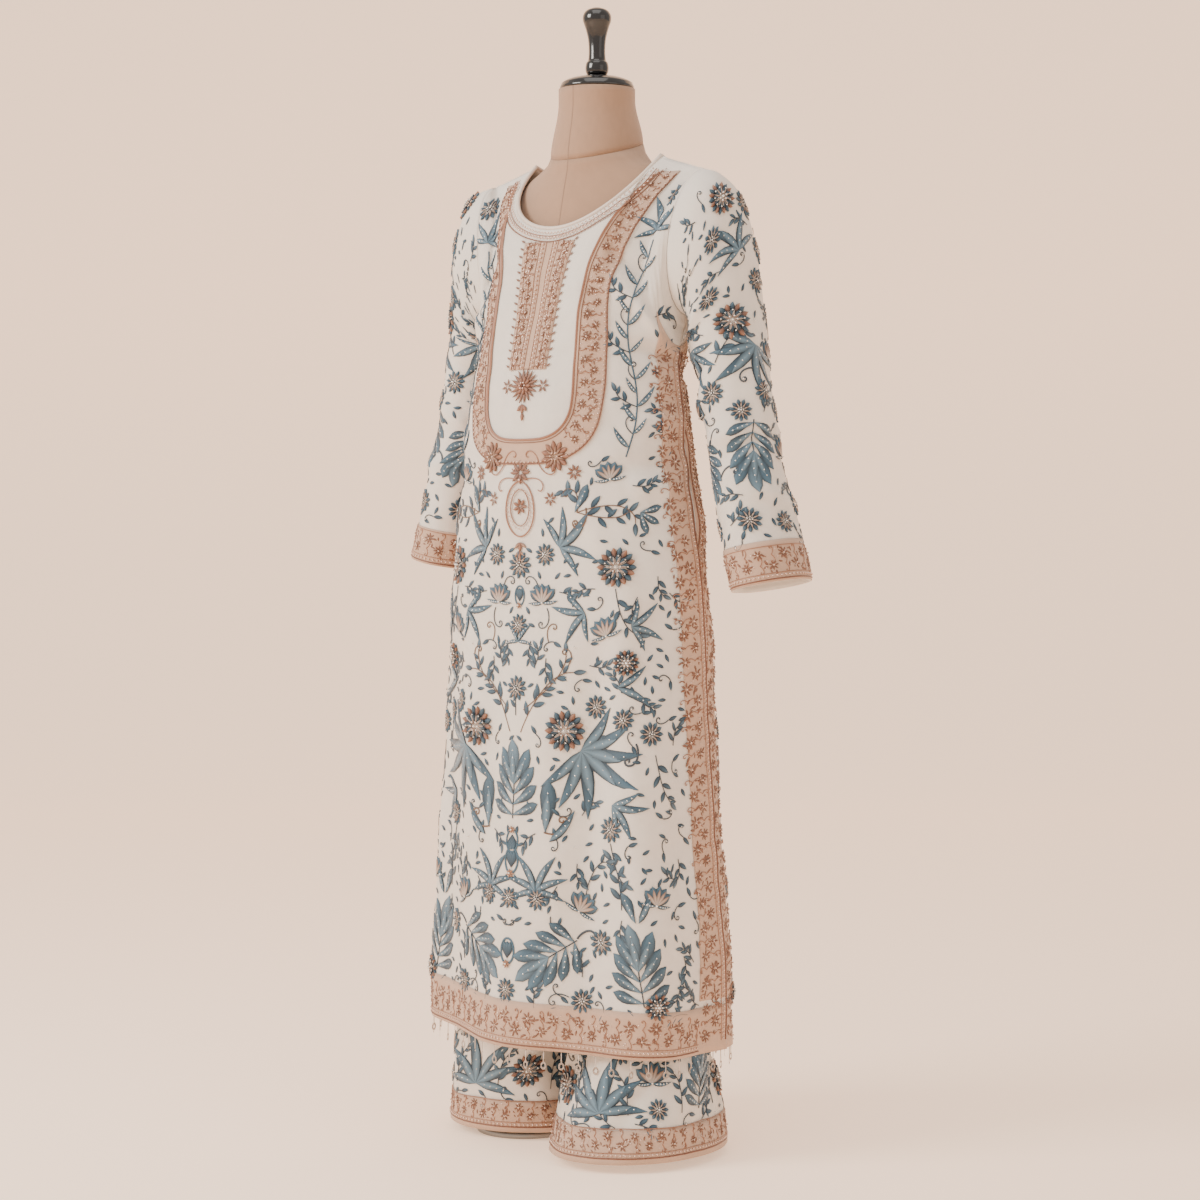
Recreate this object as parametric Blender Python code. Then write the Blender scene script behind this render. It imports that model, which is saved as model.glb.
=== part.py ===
"""A salwar kameez suit on a limbless dress form, modelled in metres with +Z up.

The kameez is a long tunic with side slits, a bib, long sleeves and embroidered borders, and wide
trousers show below it. The wearer faces -Y, and +X is the wearer's left. Every cloth piece is a
thin wall: a grid of outer points, moved inwards along its normals by the cloth's thickness.
"""

import math
from collections import namedtuple

import bmesh
import bpy
import numpy as np

# ---- driving sizes ----------------------------------------------------------------------------
CLOTH = 0.0015            # thickness of a cloth wall
TRIM = 0.0010             # thickness of an embroidered border
GAP = 0.0004              # space between neighbouring pieces
TRIM_LIFT = 0.0030        # how far the bib band stands off the front panel

HEM_HEIGHT = 0.153        # kameez hem above the floor, at the centre front
HEM_TILT = 0.010          # the hem is this much lower at the wearer's left and higher at the right
HEM_BORDER = 0.055        # depth of the kameez hem border
SLIT_TOP = 0.840          # top of both side slits
CHEST_LINE = 1.050        # where the skirt's sections end and the shoulder shaping starts
FRINGE_DROP = 0.027       # a thread and the ring bead on its end
FRINGE_DEPTH = 0.0040     # front to back size of a ring bead's row

SHOULDER_POINT = (0.182, 0.035, 1.320)
NECK_POINT = (0.110, 0.035, 1.342)
FRONT_NECK = (0.0, -0.061, 1.243)
BACK_NECK = (0.0, 0.105, 1.310)
UNDERARM = (0.163, 0.024, 1.125)
NECK_SWEEP = 1.3          # above 1 keeps the neckline forward on the chest before it turns back
FRONT_REACH = 0.054       # how far the armhole bows to the front
BACK_REACH = 0.050        # how far it bows to the back
FRONT_PINCH = 0.008       # how far the front armhole bows towards the body
BACK_PINCH = 0.010        # how far the back armhole does

NECK_STEPS = 5            # grid columns between centre front and the neck point
SHOULDER_STEPS = 3        # grid columns along a shoulder seam
ARMHOLE_STEPS = 5         # grid columns along one side of an armhole
HALF_STEPS = NECK_STEPS + SHOULDER_STEPS + ARMHOLE_STEPS
SKIRT_ROWS = 7            # rows from the hem border's top edge to the slit's top
WAIST_ROWS = 3            # rows from the slit's top to the chest line
UPPER_ROWS = 7            # rows from the chest line to the shoulder
BIB_STEPS = 18            # rows along each straight side of the bib band
SLIT_BORDER_COLUMNS = 2   # grid columns that a slit border covers

SLIT_WRAP = math.radians(15)      # how far the front panel wraps past the side line at the hem
SLIT_OVERLAP = math.radians(5)    # how far the back panel reaches inside it
OVERLAP_START = 0.10              # the overlap starts this far below the slit's top
BACK_TUCK = 0.006                 # how far the back skirt hangs inside the front skirt's ring
FLUTE = 0.011                     # depth of the hem's flutes
FLUTE_COUNT = 6
FLUTE_CREST = math.radians(57)    # one crest lies here, from the centre front
FLUTE_TOP = 0.780                 # the flutes fade out at this height

CUFF_BORDER = 0.050
LEG_BORDER = 0.042
CROTCH = 0.610
HIP_LINE = 0.730
TROUSER_TOP = 0.945
WAISTBAND = 0.040
LEG_STEPS = 20
SLEEVE_STEPS = 4 * ARMHOLE_STEPS

FORM_BOTTOM = 0.700
FORM_STEPS = 32
NECK_AXIS_Y = 0.034
NECK_TOP = 1.441
CAP_RADIUS = 0.051
CAP_HEIGHT = 0.019
POST_X = 0.100
POST_RADIUS = 0.011
FOOT_RADIUS = 0.068
FOOT_HEIGHT = 0.010

BINDING_RADIUS = 0.0026

# ---- tables -----------------------------------------------------------------------------------
Section = namedtuple("Section", "z half_width front back")
KAMEEZ = (
    Section(0.120, 0.2215, 0.160, 0.159),
    Section(0.150, 0.220, 0.158, 0.156),
    Section(0.266, 0.221, 0.151, 0.143),
    Section(0.470, 0.213, 0.142, 0.136),
    Section(0.647, 0.207, 0.137, 0.128),
    Section(0.742, 0.204, 0.1345, 0.118),
    Section(0.857, 0.190, 0.130, 0.100),
    Section(0.974, 0.171, 0.1285, 0.090),
    Section(1.050, 0.164, 0.1175, 0.095),
    Section(1.120, 0.158, 0.096, 0.100),
)
HIPS = (
    Section(0.600, 0.166, 0.114, 0.106),
    Section(0.730, 0.162, 0.114, 0.104),
    Section(0.800, 0.157, 0.112, 0.096),
    Section(0.900, 0.146, 0.108, 0.087),
    Section(0.945, 0.136, 0.104, 0.083),
    Section(0.990, 0.133, 0.103, 0.082),
)
Lean = namedtuple("Lean", "place x y z")
FRONT_LEAN = (                        # which way the front panel runs at its top edge
    Lean("centre", 0.00, 0.29, 0.96),
    Lean("neck", 0.06, 0.84, 0.54),
    Lean("shoulder", 0.60, 0.58, 0.55),
    Lean("armhole", 0.26, 0.20, 0.90),
    Lean("underarm", 0.26, 0.06, 0.94),
)
BACK_LEAN = (
    Lean("centre", 0.00, -0.06, 0.99),
    Lean("neck", 0.06, -0.84, 0.54),
    Lean("shoulder", 0.60, -0.58, 0.55),
    Lean("armhole", 0.30, 0.06, 0.90),
    Lean("underarm", 0.26, 0.06, 0.94),
)
SleeveRing = namedtuple("SleeveRing", "z x y half_x half_y")
SLEEVE_LEFT = (
    SleeveRing(1.100, 0.2130, 0.0495, 0.0450, 0.0600),
    SleeveRing(0.974, 0.2340, 0.0490, 0.0450, 0.0570),
    SleeveRing(0.860, 0.2594, 0.0470, 0.0460, 0.0600),
    SleeveRing(0.765, 0.2830, 0.0480, 0.0490, 0.0620),
)
SLEEVE_RIGHT = (
    SleeveRing(1.100, 0.2130, 0.0495, 0.0450, 0.0600),
    SleeveRing(0.980, 0.2340, 0.0490, 0.0450, 0.0570),
    SleeveRing(0.880, 0.2570, 0.0470, 0.0460, 0.0600),
    SleeveRing(0.790, 0.2780, 0.0480, 0.0490, 0.0620),
)
SLEEVE_LEAN = math.radians(12)
LegRing = namedtuple("LegRing", "z x y half_x half_y")
LEG_LEFT = (
    LegRing(0.012, 0.115, -0.022, 0.108, 0.136),
    LegRing(0.075, 0.113, -0.016, 0.098, 0.118),
    LegRing(0.150, 0.110, -0.007, 0.088, 0.097),
    LegRing(0.300, 0.104, -0.004, 0.083, 0.100),
    LegRing(0.450, 0.096, 0.000, 0.083, 0.094),
    LegRing(0.610, 0.0885, 0.000, 0.0875, 0.092),
)
LEG_RIGHT = (
    LegRing(0.012, 0.115, 0.020, 0.108, 0.103),
    LegRing(0.075, 0.112, 0.016, 0.100, 0.100),
    LegRing(0.150, 0.108, 0.009, 0.085, 0.095),
    LegRing(0.300, 0.104, 0.004, 0.083, 0.096),
    LegRing(0.450, 0.096, 0.000, 0.083, 0.094),
    LegRing(0.610, 0.0885, 0.000, 0.0875, 0.092),
)
FormRing = namedtuple("FormRing", "z half_width front back squareness rise")
FORM = (
    FormRing(0.700, 0.112, 0.080, 0.064, 2.0, 0.0),
    FormRing(0.712, 0.124, 0.091, 0.073, 2.0, 0.0),
    FormRing(0.800, 0.136, 0.098, 0.082, 2.0, 0.0),
    FormRing(0.900, 0.130, 0.096, 0.076, 2.0, 0.0),
    FormRing(0.975, 0.122, 0.092, 0.072, 2.0, 0.0),
    FormRing(1.050, 0.138, 0.104, 0.082, 2.0, 0.0),
    FormRing(1.120, 0.143, 0.084, 0.088, 2.1, 0.0),
    FormRing(1.190, 0.145, 0.066, 0.094, 2.0, 0.0),
    FormRing(1.240, 0.146, 0.052, 0.096, 1.75, 0.0),
    FormRing(1.280, 0.144, 0.043, 0.096, 1.5, 0.0),
    FormRing(1.305, 0.132, 0.037, 0.096, 1.4, 0.0),
    FormRing(1.325, 0.108, 0.033, 0.096, 1.45, 0.010),
    FormRing(1.341, 0.078, 0.031, 0.0970, 1.75, 0.025),
    FormRing(1.357, 0.0635, 0.0300, 0.0975, 2.0, 0.035),
)
BibRow = namedtuple("BibRow", "z inner outer")
BIB_SIDES = (
    BibRow(1.318, 0.122, 0.150),
    BibRow(1.290, 0.108, 0.136),
    BibRow(1.250, 0.092, 0.121),
    BibRow(1.210, 0.078, 0.110),
    BibRow(1.150, 0.071, 0.104),
    BibRow(1.090, 0.071, 0.108),
    BibRow(1.030, 0.073, 0.111),
)
BIB_BOTTOM_INNER = 0.958
BIB_BOTTOM_OUTER = 0.925
BIB_CORNER = 3.2          # squareness of the bib's lower corners

FinialRing = namedtuple("FinialRing", "height radius")
FINIAL = (
    FinialRing(0.000, 0.0110),
    FinialRing(0.003, 0.0148),
    FinialRing(0.010, 0.0160),
    FinialRing(0.017, 0.0148),
    FinialRing(0.021, 0.0122),
    FinialRing(0.034, 0.0113),
    FinialRing(0.050, 0.0125),
    FinialRing(0.064, 0.0160),
    FinialRing(0.075, 0.0195),
    FinialRing(0.083, 0.0188),
    FinialRing(0.089, 0.0140),
    FinialRing(0.092, 0.0070),
)

# ---- materials --------------------------------------------------------------------------------
MaterialLook = namedtuple("MaterialLook", "colour roughness metallic")
LOOKS = {
    "ivory_crepe": MaterialLook((0.84, 0.79, 0.72), 0.75, 0.0),
    "ivory_trousers": MaterialLook((0.83, 0.78, 0.71), 0.75, 0.0),
    "tan_embroidery": MaterialLook((0.62, 0.47, 0.37), 0.60, 0.0),
    "thread_fringe": MaterialLook((0.80, 0.74, 0.68), 0.55, 0.0),
    "form_jersey": MaterialLook((0.60, 0.45, 0.33), 0.85, 0.0),
    "black_lacquer": MaterialLook((0.01, 0.01, 0.012), 0.12, 0.0),
    "stand_metal": MaterialLook((0.30, 0.29, 0.28), 0.40, 1.0),
}


def clear_scene():
    """Remove whatever the scene holds."""
    for item in list(bpy.data.objects):
        bpy.data.objects.remove(item, do_unlink=True)


def make_materials():
    """One Principled material for each finish."""
    materials = {}
    for name, look in LOOKS.items():
        material = bpy.data.materials.new(name)
        material.use_nodes = True
        shader = material.node_tree.nodes["Principled BSDF"]
        shader.inputs["Base Color"].default_value = (*look.colour, 1.0)
        shader.inputs["Roughness"].default_value = look.roughness
        shader.inputs["Metallic"].default_value = look.metallic
        materials[name] = material
    return materials


# ---- small helpers ----------------------------------------------------------------------------
def ease(value):
    """Smooth step from 0 to 1."""
    value = min(max(value, 0.0), 1.0)
    return value * value * (3.0 - 2.0 * value)


def unit(vectors):
    """Vectors of length one."""
    vectors = np.asarray(vectors, float)
    return vectors / np.linalg.norm(vectors, axis=-1, keepdims=True)


def curve_value(table, at, key, column):
    """A smooth curve through one column of a table, read where the key column equals `at`."""
    keys = [getattr(row, key) for row in table]
    values = [getattr(row, column) for row in table]
    if keys[0] > keys[-1]:
        keys = keys[::-1]
        values = values[::-1]
    at = min(max(at, keys[0]), keys[-1])
    last = len(keys) - 2
    index = min(max(int(np.searchsorted(keys, at)) - 1, 0), last)
    slopes = np.gradient(values, keys)
    span = keys[index + 1] - keys[index]
    part = (at - keys[index]) / span
    square = part * part
    cube = square * part
    return ((2 * cube - 3 * square + 1) * values[index]
            + (cube - 2 * square + part) * span * slopes[index]
            + (3 * square - 2 * cube) * values[index + 1]
            + (cube - square) * span * slopes[index + 1])


def hermite(start, start_run, end, end_run, part):
    """A point on the curve that leaves start along start_run and arrives at end along end_run."""
    square = part * part
    cube = square * part
    return ((2 * cube - 3 * square + 1) * start + (cube - 2 * square + part) * start_run
            + (3 * square - 2 * cube) * end + (cube - square) * end_run)


def grid_normals(points, closed):
    """Outward normals of a grid whose rows climb and whose columns run anticlockwise."""
    rows = np.gradient(points, axis=0)
    if closed:
        columns = np.roll(points, -1, axis=1) - np.roll(points, 1, axis=1)
    else:
        columns = np.gradient(points, axis=1)
    return unit(np.cross(columns, rows))


def grid_triangles(rows, columns, closed, first):
    """Two triangles for each cell of a grid of vertices numbered from `first`."""
    triangles = []
    for row in range(rows - 1):
        for column in range(columns if closed else columns - 1):
            beside = (column + 1) % columns
            low = first + row * columns
            high = low + columns
            triangles.append((low + column, low + beside, high + beside))
            triangles.append((low + column, high + beside, high + column))
    return triangles


def add_object(name, vertices, faces, material, smooth=True):
    """A named mesh object with its material."""
    mesh = bpy.data.meshes.new(name)
    mesh.from_pydata([tuple(vertex) for vertex in vertices], [], faces)
    mesh.materials.append(material)
    item = bpy.data.objects.new(name, mesh)
    bpy.context.scene.collection.objects.link(item)
    if smooth:
        mesh.shade_smooth()
        mesh.set_sharp_from_angle(angle=math.radians(50))
    return item


def wall(name, outer, normals, thickness, material, closed=False):
    """A closed solid: the outer grid, the same grid moved inwards, and the rim between them."""
    rows, columns = outer.shape[:2]
    inner = outer - normals * thickness
    vertices = np.concatenate([outer.reshape(-1, 3), inner.reshape(-1, 3)])
    count = rows * columns
    faces = grid_triangles(rows, columns, closed, 0)
    faces += [face[::-1] for face in grid_triangles(rows, columns, closed, count)]
    top = (rows - 1) * columns
    for column in range(columns if closed else columns - 1):
        beside = (column + 1) % columns
        faces.append((column, count + column, count + beside, beside))
        faces.append((top + column, top + beside, count + top + beside, count + top + column))
    if not closed:
        end = columns - 1
        for row in range(rows - 1):
            low = row * columns
            high = low + columns
            faces.append((low, high, count + high, count + low))
            faces.append((low + end, count + low + end, count + high + end, high + end))
    return add_object(name, vertices, faces, material)


# ---- the kameez's body ------------------------------------------------------------------------
def hem_height(angle):
    """Height of the hem at an angle from the centre front."""
    return HEM_HEIGHT - HEM_TILT * math.sin(angle)


def skirt_point(angle, z, tuck=0.0):
    """A point of the kameez's ring at this height and angle from the centre front."""
    half_width = curve_value(KAMEEZ, z, "z", "half_width")
    depth = curve_value(KAMEEZ, z, "z", "front" if math.cos(angle) > 0 else "back")
    swell = ease((FLUTE_TOP - z) / (FLUTE_TOP - HEM_HEIGHT))
    reach = FLUTE * swell * math.cos(FLUTE_COUNT * (angle - FLUTE_CREST)) - tuck
    return np.array([(half_width + reach) * math.sin(angle), -(depth + reach) * math.cos(angle), z])


def panel_angle(share, z, back):
    """Angle of a panel's column, from the centre front, for its share from -1 to 1."""
    open_part = ease((SLIT_TOP - z) / (SLIT_TOP - HEM_HEIGHT))
    overlap_part = ease((SLIT_TOP - OVERLAP_START - z) / 0.20)
    edge = math.pi / 2 + SLIT_WRAP * open_part
    if not back:
        return share * edge
    edge -= (SLIT_OVERLAP + 0.01) * overlap_part
    return math.pi + share * (math.pi - edge)


def top_edge(share, back):
    """The panel's top edge, x to the wearer's left: neckline, shoulder seam, then armhole."""
    step = abs(share) * HALF_STEPS
    side = 1.0 if share >= 0 else -1.0
    if step <= NECK_STEPS:
        turn = math.pi / 2 * step / NECK_STEPS
        low = np.array(BACK_NECK if back else FRONT_NECK)
        high = np.array(NECK_POINT)
        across = math.sin(turn)
        rise = 1.0 - math.cos(turn)
        point = np.array([high[0] * across, low[1] + (high[1] - low[1]) * rise ** NECK_SWEEP,
                          low[2] + (high[2] - low[2]) * rise])
    elif step <= NECK_STEPS + SHOULDER_STEPS:
        part = (step - NECK_STEPS) / SHOULDER_STEPS
        point = np.array(NECK_POINT) * (1 - part) + np.array(SHOULDER_POINT) * part
    else:
        turn = math.pi * (step - NECK_STEPS - SHOULDER_STEPS) / ARMHOLE_STEPS
        down = (1.0 - math.cos(turn)) / 2
        point = np.array(SHOULDER_POINT) * (1 - down) + np.array(UNDERARM) * down
        point[0] -= (BACK_PINCH if back else FRONT_PINCH) * math.sin(turn)
        point[1] += (BACK_REACH if back else -FRONT_REACH) * math.sin(turn)
    point[0] *= side
    return point


def top_lean(share, back):
    """Which way a column runs as it reaches the panel's top edge."""
    table = BACK_LEAN if back else FRONT_LEAN
    stops = [0.0, NECK_STEPS, NECK_STEPS + SHOULDER_STEPS, HALF_STEPS - ARMHOLE_STEPS / 2,
             HALF_STEPS]
    step = abs(share) * HALF_STEPS
    lean = np.array([np.interp(step, stops, [getattr(row, axis) for row in table])
                     for axis in ("x", "y", "z")])
    lean[0] *= 1.0 if share >= 0 else -1.0
    return unit(lean)


def panel_column(share, back):
    """One column of a panel, from the hem to its top edge."""
    points = []
    hem_angle = panel_angle(share, HEM_HEIGHT, back)
    hem = hem_height(hem_angle)
    heights = [hem, hem + HEM_BORDER]
    heights += [hem + HEM_BORDER + (SLIT_TOP - hem - HEM_BORDER) * row / SKIRT_ROWS
                for row in range(1, SKIRT_ROWS + 1)]
    heights += [SLIT_TOP + (CHEST_LINE - SLIT_TOP) * row / WAIST_ROWS
                for row in range(1, WAIST_ROWS + 1)]
    for z in heights:
        tuck = BACK_TUCK * ease((SLIT_TOP - z) / 0.05) if back else 0.0
        points.append(skirt_point(panel_angle(share, z, back), z, tuck))
    angle = panel_angle(share, CHEST_LINE, back)
    base = points[-1]
    run = unit(skirt_point(angle, CHEST_LINE + 0.005) - skirt_point(angle, CHEST_LINE - 0.005))
    travel = -share if back else share
    end = top_edge(travel, back)
    length = np.linalg.norm(end - base)
    for row in range(1, UPPER_ROWS + 1):
        points.append(hermite(base, run * length, end, top_lean(travel, back) * length,
                              row / UPPER_ROWS))
    return np.array(points)


def panel_grid(back):
    """A whole panel, its columns running anticlockwise as seen from above."""
    shares = [column / HALF_STEPS - 1.0 for column in range(2 * HALF_STEPS + 1)]
    return np.stack([panel_column(share, back) for share in shares], axis=1)


def armhole_columns(back, left):
    """Numbers of the columns that end on one armhole, from the shoulder to the underarm."""
    from_left = ARMHOLE_STEPS - np.arange(ARMHOLE_STEPS + 1)
    return from_left if back == left else 2 * HALF_STEPS - from_left


def armhole_normals(points):
    """Normals round an armhole, pointing away from the middle of the arm."""
    middle = (np.array(SHOULDER_POINT) + np.array(UNDERARM)) / 2
    middle[0] *= 1.0 if points[0][0] > 0 else -1.0
    along = unit(np.gradient(points, axis=0))
    outward = points - middle
    outward -= along * np.sum(outward * along, axis=1, keepdims=True)
    return unit(outward)


def seam_panels(front, back):
    """Normals of both panels, equal along their seams, and edges pulled apart by the gap."""
    front_normals = grid_normals(front, False)
    back_normals = grid_normals(back, False)
    last = 2 * HALF_STEPS
    open_rows = 2 + SKIRT_ROWS - 1
    for near, far in ((last, 0), (0, last)):
        shared = unit(front_normals[open_rows:, near] + back_normals[open_rows:, far])
        front_normals[open_rows:, near] = shared
        back_normals[open_rows:, far] = shared
    for step in range(NECK_STEPS, NECK_STEPS + SHOULDER_STEPS + 1):
        for side in (-1, 1):
            shared = unit(front_normals[-1, HALF_STEPS + side * step]
                          + back_normals[-1, HALF_STEPS - side * step])
            front_normals[-1, HALF_STEPS + side * step] = shared
            back_normals[-1, HALF_STEPS - side * step] = shared
    for left in (True, False):
        for grid, normals, is_back in ((front, front_normals, False), (back, back_normals, True)):
            columns = armhole_columns(is_back, left)
            loop = grid[-1, columns]
            turned = armhole_normals(loop)
            turned[0] = normals[-1, columns[0]]
            turned[-1] = (0.0, 0.0, -1.0)
            normals[-1, columns] = turned
    for grid in (front, back):
        sideways = unit(grid[:, 1] - grid[:, 0]) * GAP / 2
        grid[:, 0] += sideways
        grid[:, -1] -= unit(grid[:, -1] - grid[:, -2]) * GAP / 2
        grid[-1] -= unit(grid[-1] - grid[-2]) * GAP / 2
    return front_normals, back_normals


def lay_on(points, normals, lift):
    """Points moved out from a panel, for a piece that lies on it."""
    return points + normals * lift


def make_borders(side_name, panel, normals, material):
    """The hem border and both slit borders of one panel, cut from its own grid."""
    lift = GAP + TRIM
    outer = lay_on(panel, normals, lift)
    wall(f"hem_border_{side_name}", outer[:2], normals[:2], TRIM, material)
    top = 2 + SKIRT_ROWS + WAIST_ROWS
    pulled = outer[1:top].copy()
    pulled[0] += unit(outer[2] - outer[1]) * GAP
    left_first = side_name == "back"
    for name, columns in (("left", slice(0, SLIT_BORDER_COLUMNS + 1)),
                          ("right", slice(-SLIT_BORDER_COLUMNS - 1, None))):
        if not left_first:
            columns = (slice(-SLIT_BORDER_COLUMNS - 1, None) if name == "left"
                       else slice(0, SLIT_BORDER_COLUMNS + 1))
        wall(f"slit_border_{side_name}_{name}", pulled[:, columns], normals[1:top, columns],
             TRIM, material)


def make_fringe(side_name, panel, normals, material):
    """The plain solid that the hem's hanging threads and ring beads fill."""
    level = normals[0].copy()
    level[:, 2] = 0.0
    level = unit(level)
    middle = panel[0] - level * CLOTH / 2
    top = middle + level * FRINGE_DEPTH / 2
    top[:, 2] -= GAP
    low = top.copy()
    low[:, 2] -= FRINGE_DROP
    wall(f"hem_fringe_{side_name}", np.stack([low, top]), np.stack([level, level]),
         FRINGE_DEPTH, material)


def panel_place(panel, normals, x, z):
    """The point and normal of the front panel at this x and height."""
    crossings = []
    for column in range(panel.shape[1]):
        heights = panel[:, column, 2]
        row = min(max(int(np.searchsorted(heights, z)) - 1, 0), len(heights) - 2)
        part = (z - heights[row]) / (heights[row + 1] - heights[row])
        part = min(part, 1.0)
        point = panel[row, column] * (1 - part) + panel[row + 1, column] * part
        normal = normals[row, column] * (1 - part) + normals[row + 1, column] * part
        crossings.append((point, normal))
    across = [point[0] for point, _ in crossings]
    column = min(max(int(np.searchsorted(across, x)) - 1, 0), len(across) - 2)
    part = (x - across[column]) / (across[column + 1] - across[column])
    point = crossings[column][0] * (1 - part) + crossings[column + 1][0] * part
    normal = crossings[column][1] * (1 - part) + crossings[column + 1][1] * part
    return point, unit(normal)


def bib_outline():
    """Pairs of (x, z) on the band's outer and inner edges, from the right shoulder to the left."""
    lowest = BIB_SIDES[-1]
    drop = BIB_SIDES[0].z - lowest.z
    pairs = []
    for step in range(BIB_STEPS + 1):
        z = BIB_SIDES[0].z - drop * step / BIB_STEPS
        pairs.append(((curve_value(BIB_SIDES, z, "z", "outer"), z),
                      (curve_value(BIB_SIDES, z, "z", "inner"), z)))
    turns = 6
    for turn in range(1, turns):
        angle = math.pi / 2 * turn / turns
        across = math.cos(angle) ** (2 / BIB_CORNER)
        down = math.sin(angle) ** (2 / BIB_CORNER)
        pairs.append(((lowest.outer * across, lowest.z - (lowest.z - BIB_BOTTOM_OUTER) * down),
                      (lowest.inner * across, lowest.z - (lowest.z - BIB_BOTTOM_INNER) * down)))
    pairs.append(((0.0, BIB_BOTTOM_OUTER), (0.0, BIB_BOTTOM_INNER)))
    mirrored = [((-outer[0], outer[1]), (-inner[0], inner[1])) for outer, inner in pairs[:-1]]
    return mirrored + pairs[::-1]


def make_bib_band(panel, normals, material):
    """The embroidered band that runs from both shoulders round the plain bib."""
    edges = []
    directions = []
    for outer, inner in bib_outline():
        row = []
        row_normals = []
        for part in (0.0, 1 / 3, 2 / 3, 1.0):
            x = outer[0] * (1 - part) + inner[0] * part
            z = outer[1] * (1 - part) + inner[1] * part
            point, normal = panel_place(panel, normals, x, z)
            row.append(point + normal * (TRIM_LIFT + TRIM))
            row_normals.append(normal)
        edges.append(row)
        directions.append(row_normals)
    points = np.transpose(np.array(edges), (1, 0, 2))
    point_normals = np.transpose(np.array(directions), (1, 0, 2))
    wall("bib_band", points, point_normals, TRIM, material)


def tube_along(name, centres, first_axis, second_axis, radius, sides, material):
    """A closed loop of round cord through the centres."""
    rings = []
    for side in range(sides):
        angle = 2 * math.pi * side / sides
        rings.append(centres + first_axis * math.cos(angle) * radius
                     + second_axis * math.sin(angle) * radius)
    points = np.stack(rings, axis=0)
    count = len(centres)
    faces = []
    for side in range(sides):
        beside = (side + 1) % sides
        for step in range(count):
            ahead = (step + 1) % count
            faces.append((side * count + step, beside * count + step,
                          beside * count + ahead, side * count + ahead))
    return add_object(name, points.reshape(-1, 3), faces, material)


def make_neck_binding(front, back, front_normals, back_normals, material):
    """The ivory piping round the neckline."""
    columns = range(HALF_STEPS - NECK_STEPS, HALF_STEPS + NECK_STEPS + 1)
    loop = [front[-1, column] for column in columns]
    ups = [front_normals[-1, column] for column in columns]
    for column in list(columns)[1:-1]:
        loop.append(back[-1, column])
        ups.append(back_normals[-1, column])
    loop = np.array(loop)
    ups = np.array(ups)
    along = unit(np.roll(loop, -1, axis=0) - np.roll(loop, 1, axis=0))
    ups = unit(ups - along * np.sum(ups * along, axis=1, keepdims=True))
    inward = np.cross(ups, along)
    centres = loop + inward * (BINDING_RADIUS + GAP) - ups * CLOTH / 2
    tube_along("neck_binding", centres, inward, ups, BINDING_RADIUS, 8, material)


# ---- sleeves ----------------------------------------------------------------------------------
def sleeve_ring(table, z):
    """One ring of a left sleeve, its points from the outer side to the back."""
    values = {name: curve_value(table, z, "z", name) for name in ("x", "y", "half_x", "half_y")}
    centre = np.array([values["x"], values["y"], z])
    outward = np.array([math.cos(SLEEVE_LEAN), 0.0, math.sin(SLEEVE_LEAN)])
    backward = np.array([0.0, 1.0, 0.0])
    angles = 2 * math.pi * np.arange(SLEEVE_STEPS) / SLEEVE_STEPS
    return (centre + np.outer(np.cos(angles) * values["half_x"], outward)
            + np.outer(np.sin(angles) * values["half_y"], backward))


def armhole_loop(front, back, front_normals, back_normals):
    """Points and normals round the left armhole: shoulder, back, underarm, front."""
    behind = armhole_columns(True, True)
    before = armhole_columns(False, True)[::-1]
    points = np.concatenate([back[-1, behind], front[-1, before[1:-1]]])
    normals = np.concatenate([back_normals[-1, behind], front_normals[-1, before[1:-1]]])
    middles = (points + np.roll(points, -1, axis=0)) / 2
    middle_normals = unit(normals + np.roll(normals, -1, axis=0))
    both = np.stack([points, middles], axis=1).reshape(-1, 3)
    both_normals = np.stack([normals, middle_normals], axis=1).reshape(-1, 3)
    return both, both_normals


def sleeve_grid(table, loop, loop_normals):
    """A left sleeve's outer points and normals, its rows climbing from the cuff."""
    along = unit(np.roll(loop, -1, axis=0) - np.roll(loop, 1, axis=0))
    away = unit(np.cross(loop_normals, along))
    away *= np.sign(away[:, :1])
    start = loop + away * GAP
    first = sleeve_ring(table, table[0].z)
    fall = np.array([math.sin(SLEEVE_LEAN), 0.0, -math.cos(SLEEVE_LEAN)])
    length = np.linalg.norm(first - start, axis=1, keepdims=True)
    rows = [start]
    for row in range(1, 5):
        rows.append(hermite(start, away * length, first, fall * length, row / 4))
    cuff = table[-1].z
    border_top = cuff + CUFF_BORDER
    for row in range(1, 6):
        rows.append(sleeve_ring(table, table[0].z + (border_top - table[0].z) * row / 5))
    rows.append(sleeve_ring(table, cuff))
    points = np.array(rows)[::-1]
    normals = grid_normals(points, True)
    normals[-1] = loop_normals
    return points, normals


def mirror_columns(points):
    """The same grid on the wearer's right, still anticlockwise."""
    mirrored = points[:, ::-1].copy()
    mirrored[..., 0] *= -1.0
    return mirrored


def make_sleeves(front, back, front_normals, back_normals, cloth, trim):
    """Both sleeves and their cuff borders."""
    loop, loop_normals = armhole_loop(front, back, front_normals, back_normals)
    for name, table in (("left", SLEEVE_LEFT), ("right", SLEEVE_RIGHT)):
        points, normals = sleeve_grid(table, loop, loop_normals)
        if name == "right":
            points = mirror_columns(points)
            normals = mirror_columns(normals)
        wall(f"sleeve_{name}", points, normals, CLOTH, cloth, closed=True)
        wall(f"cuff_border_{name}", lay_on(points[:2], normals[:2], GAP + TRIM), normals[:2],
             TRIM, trim, closed=True)


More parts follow.
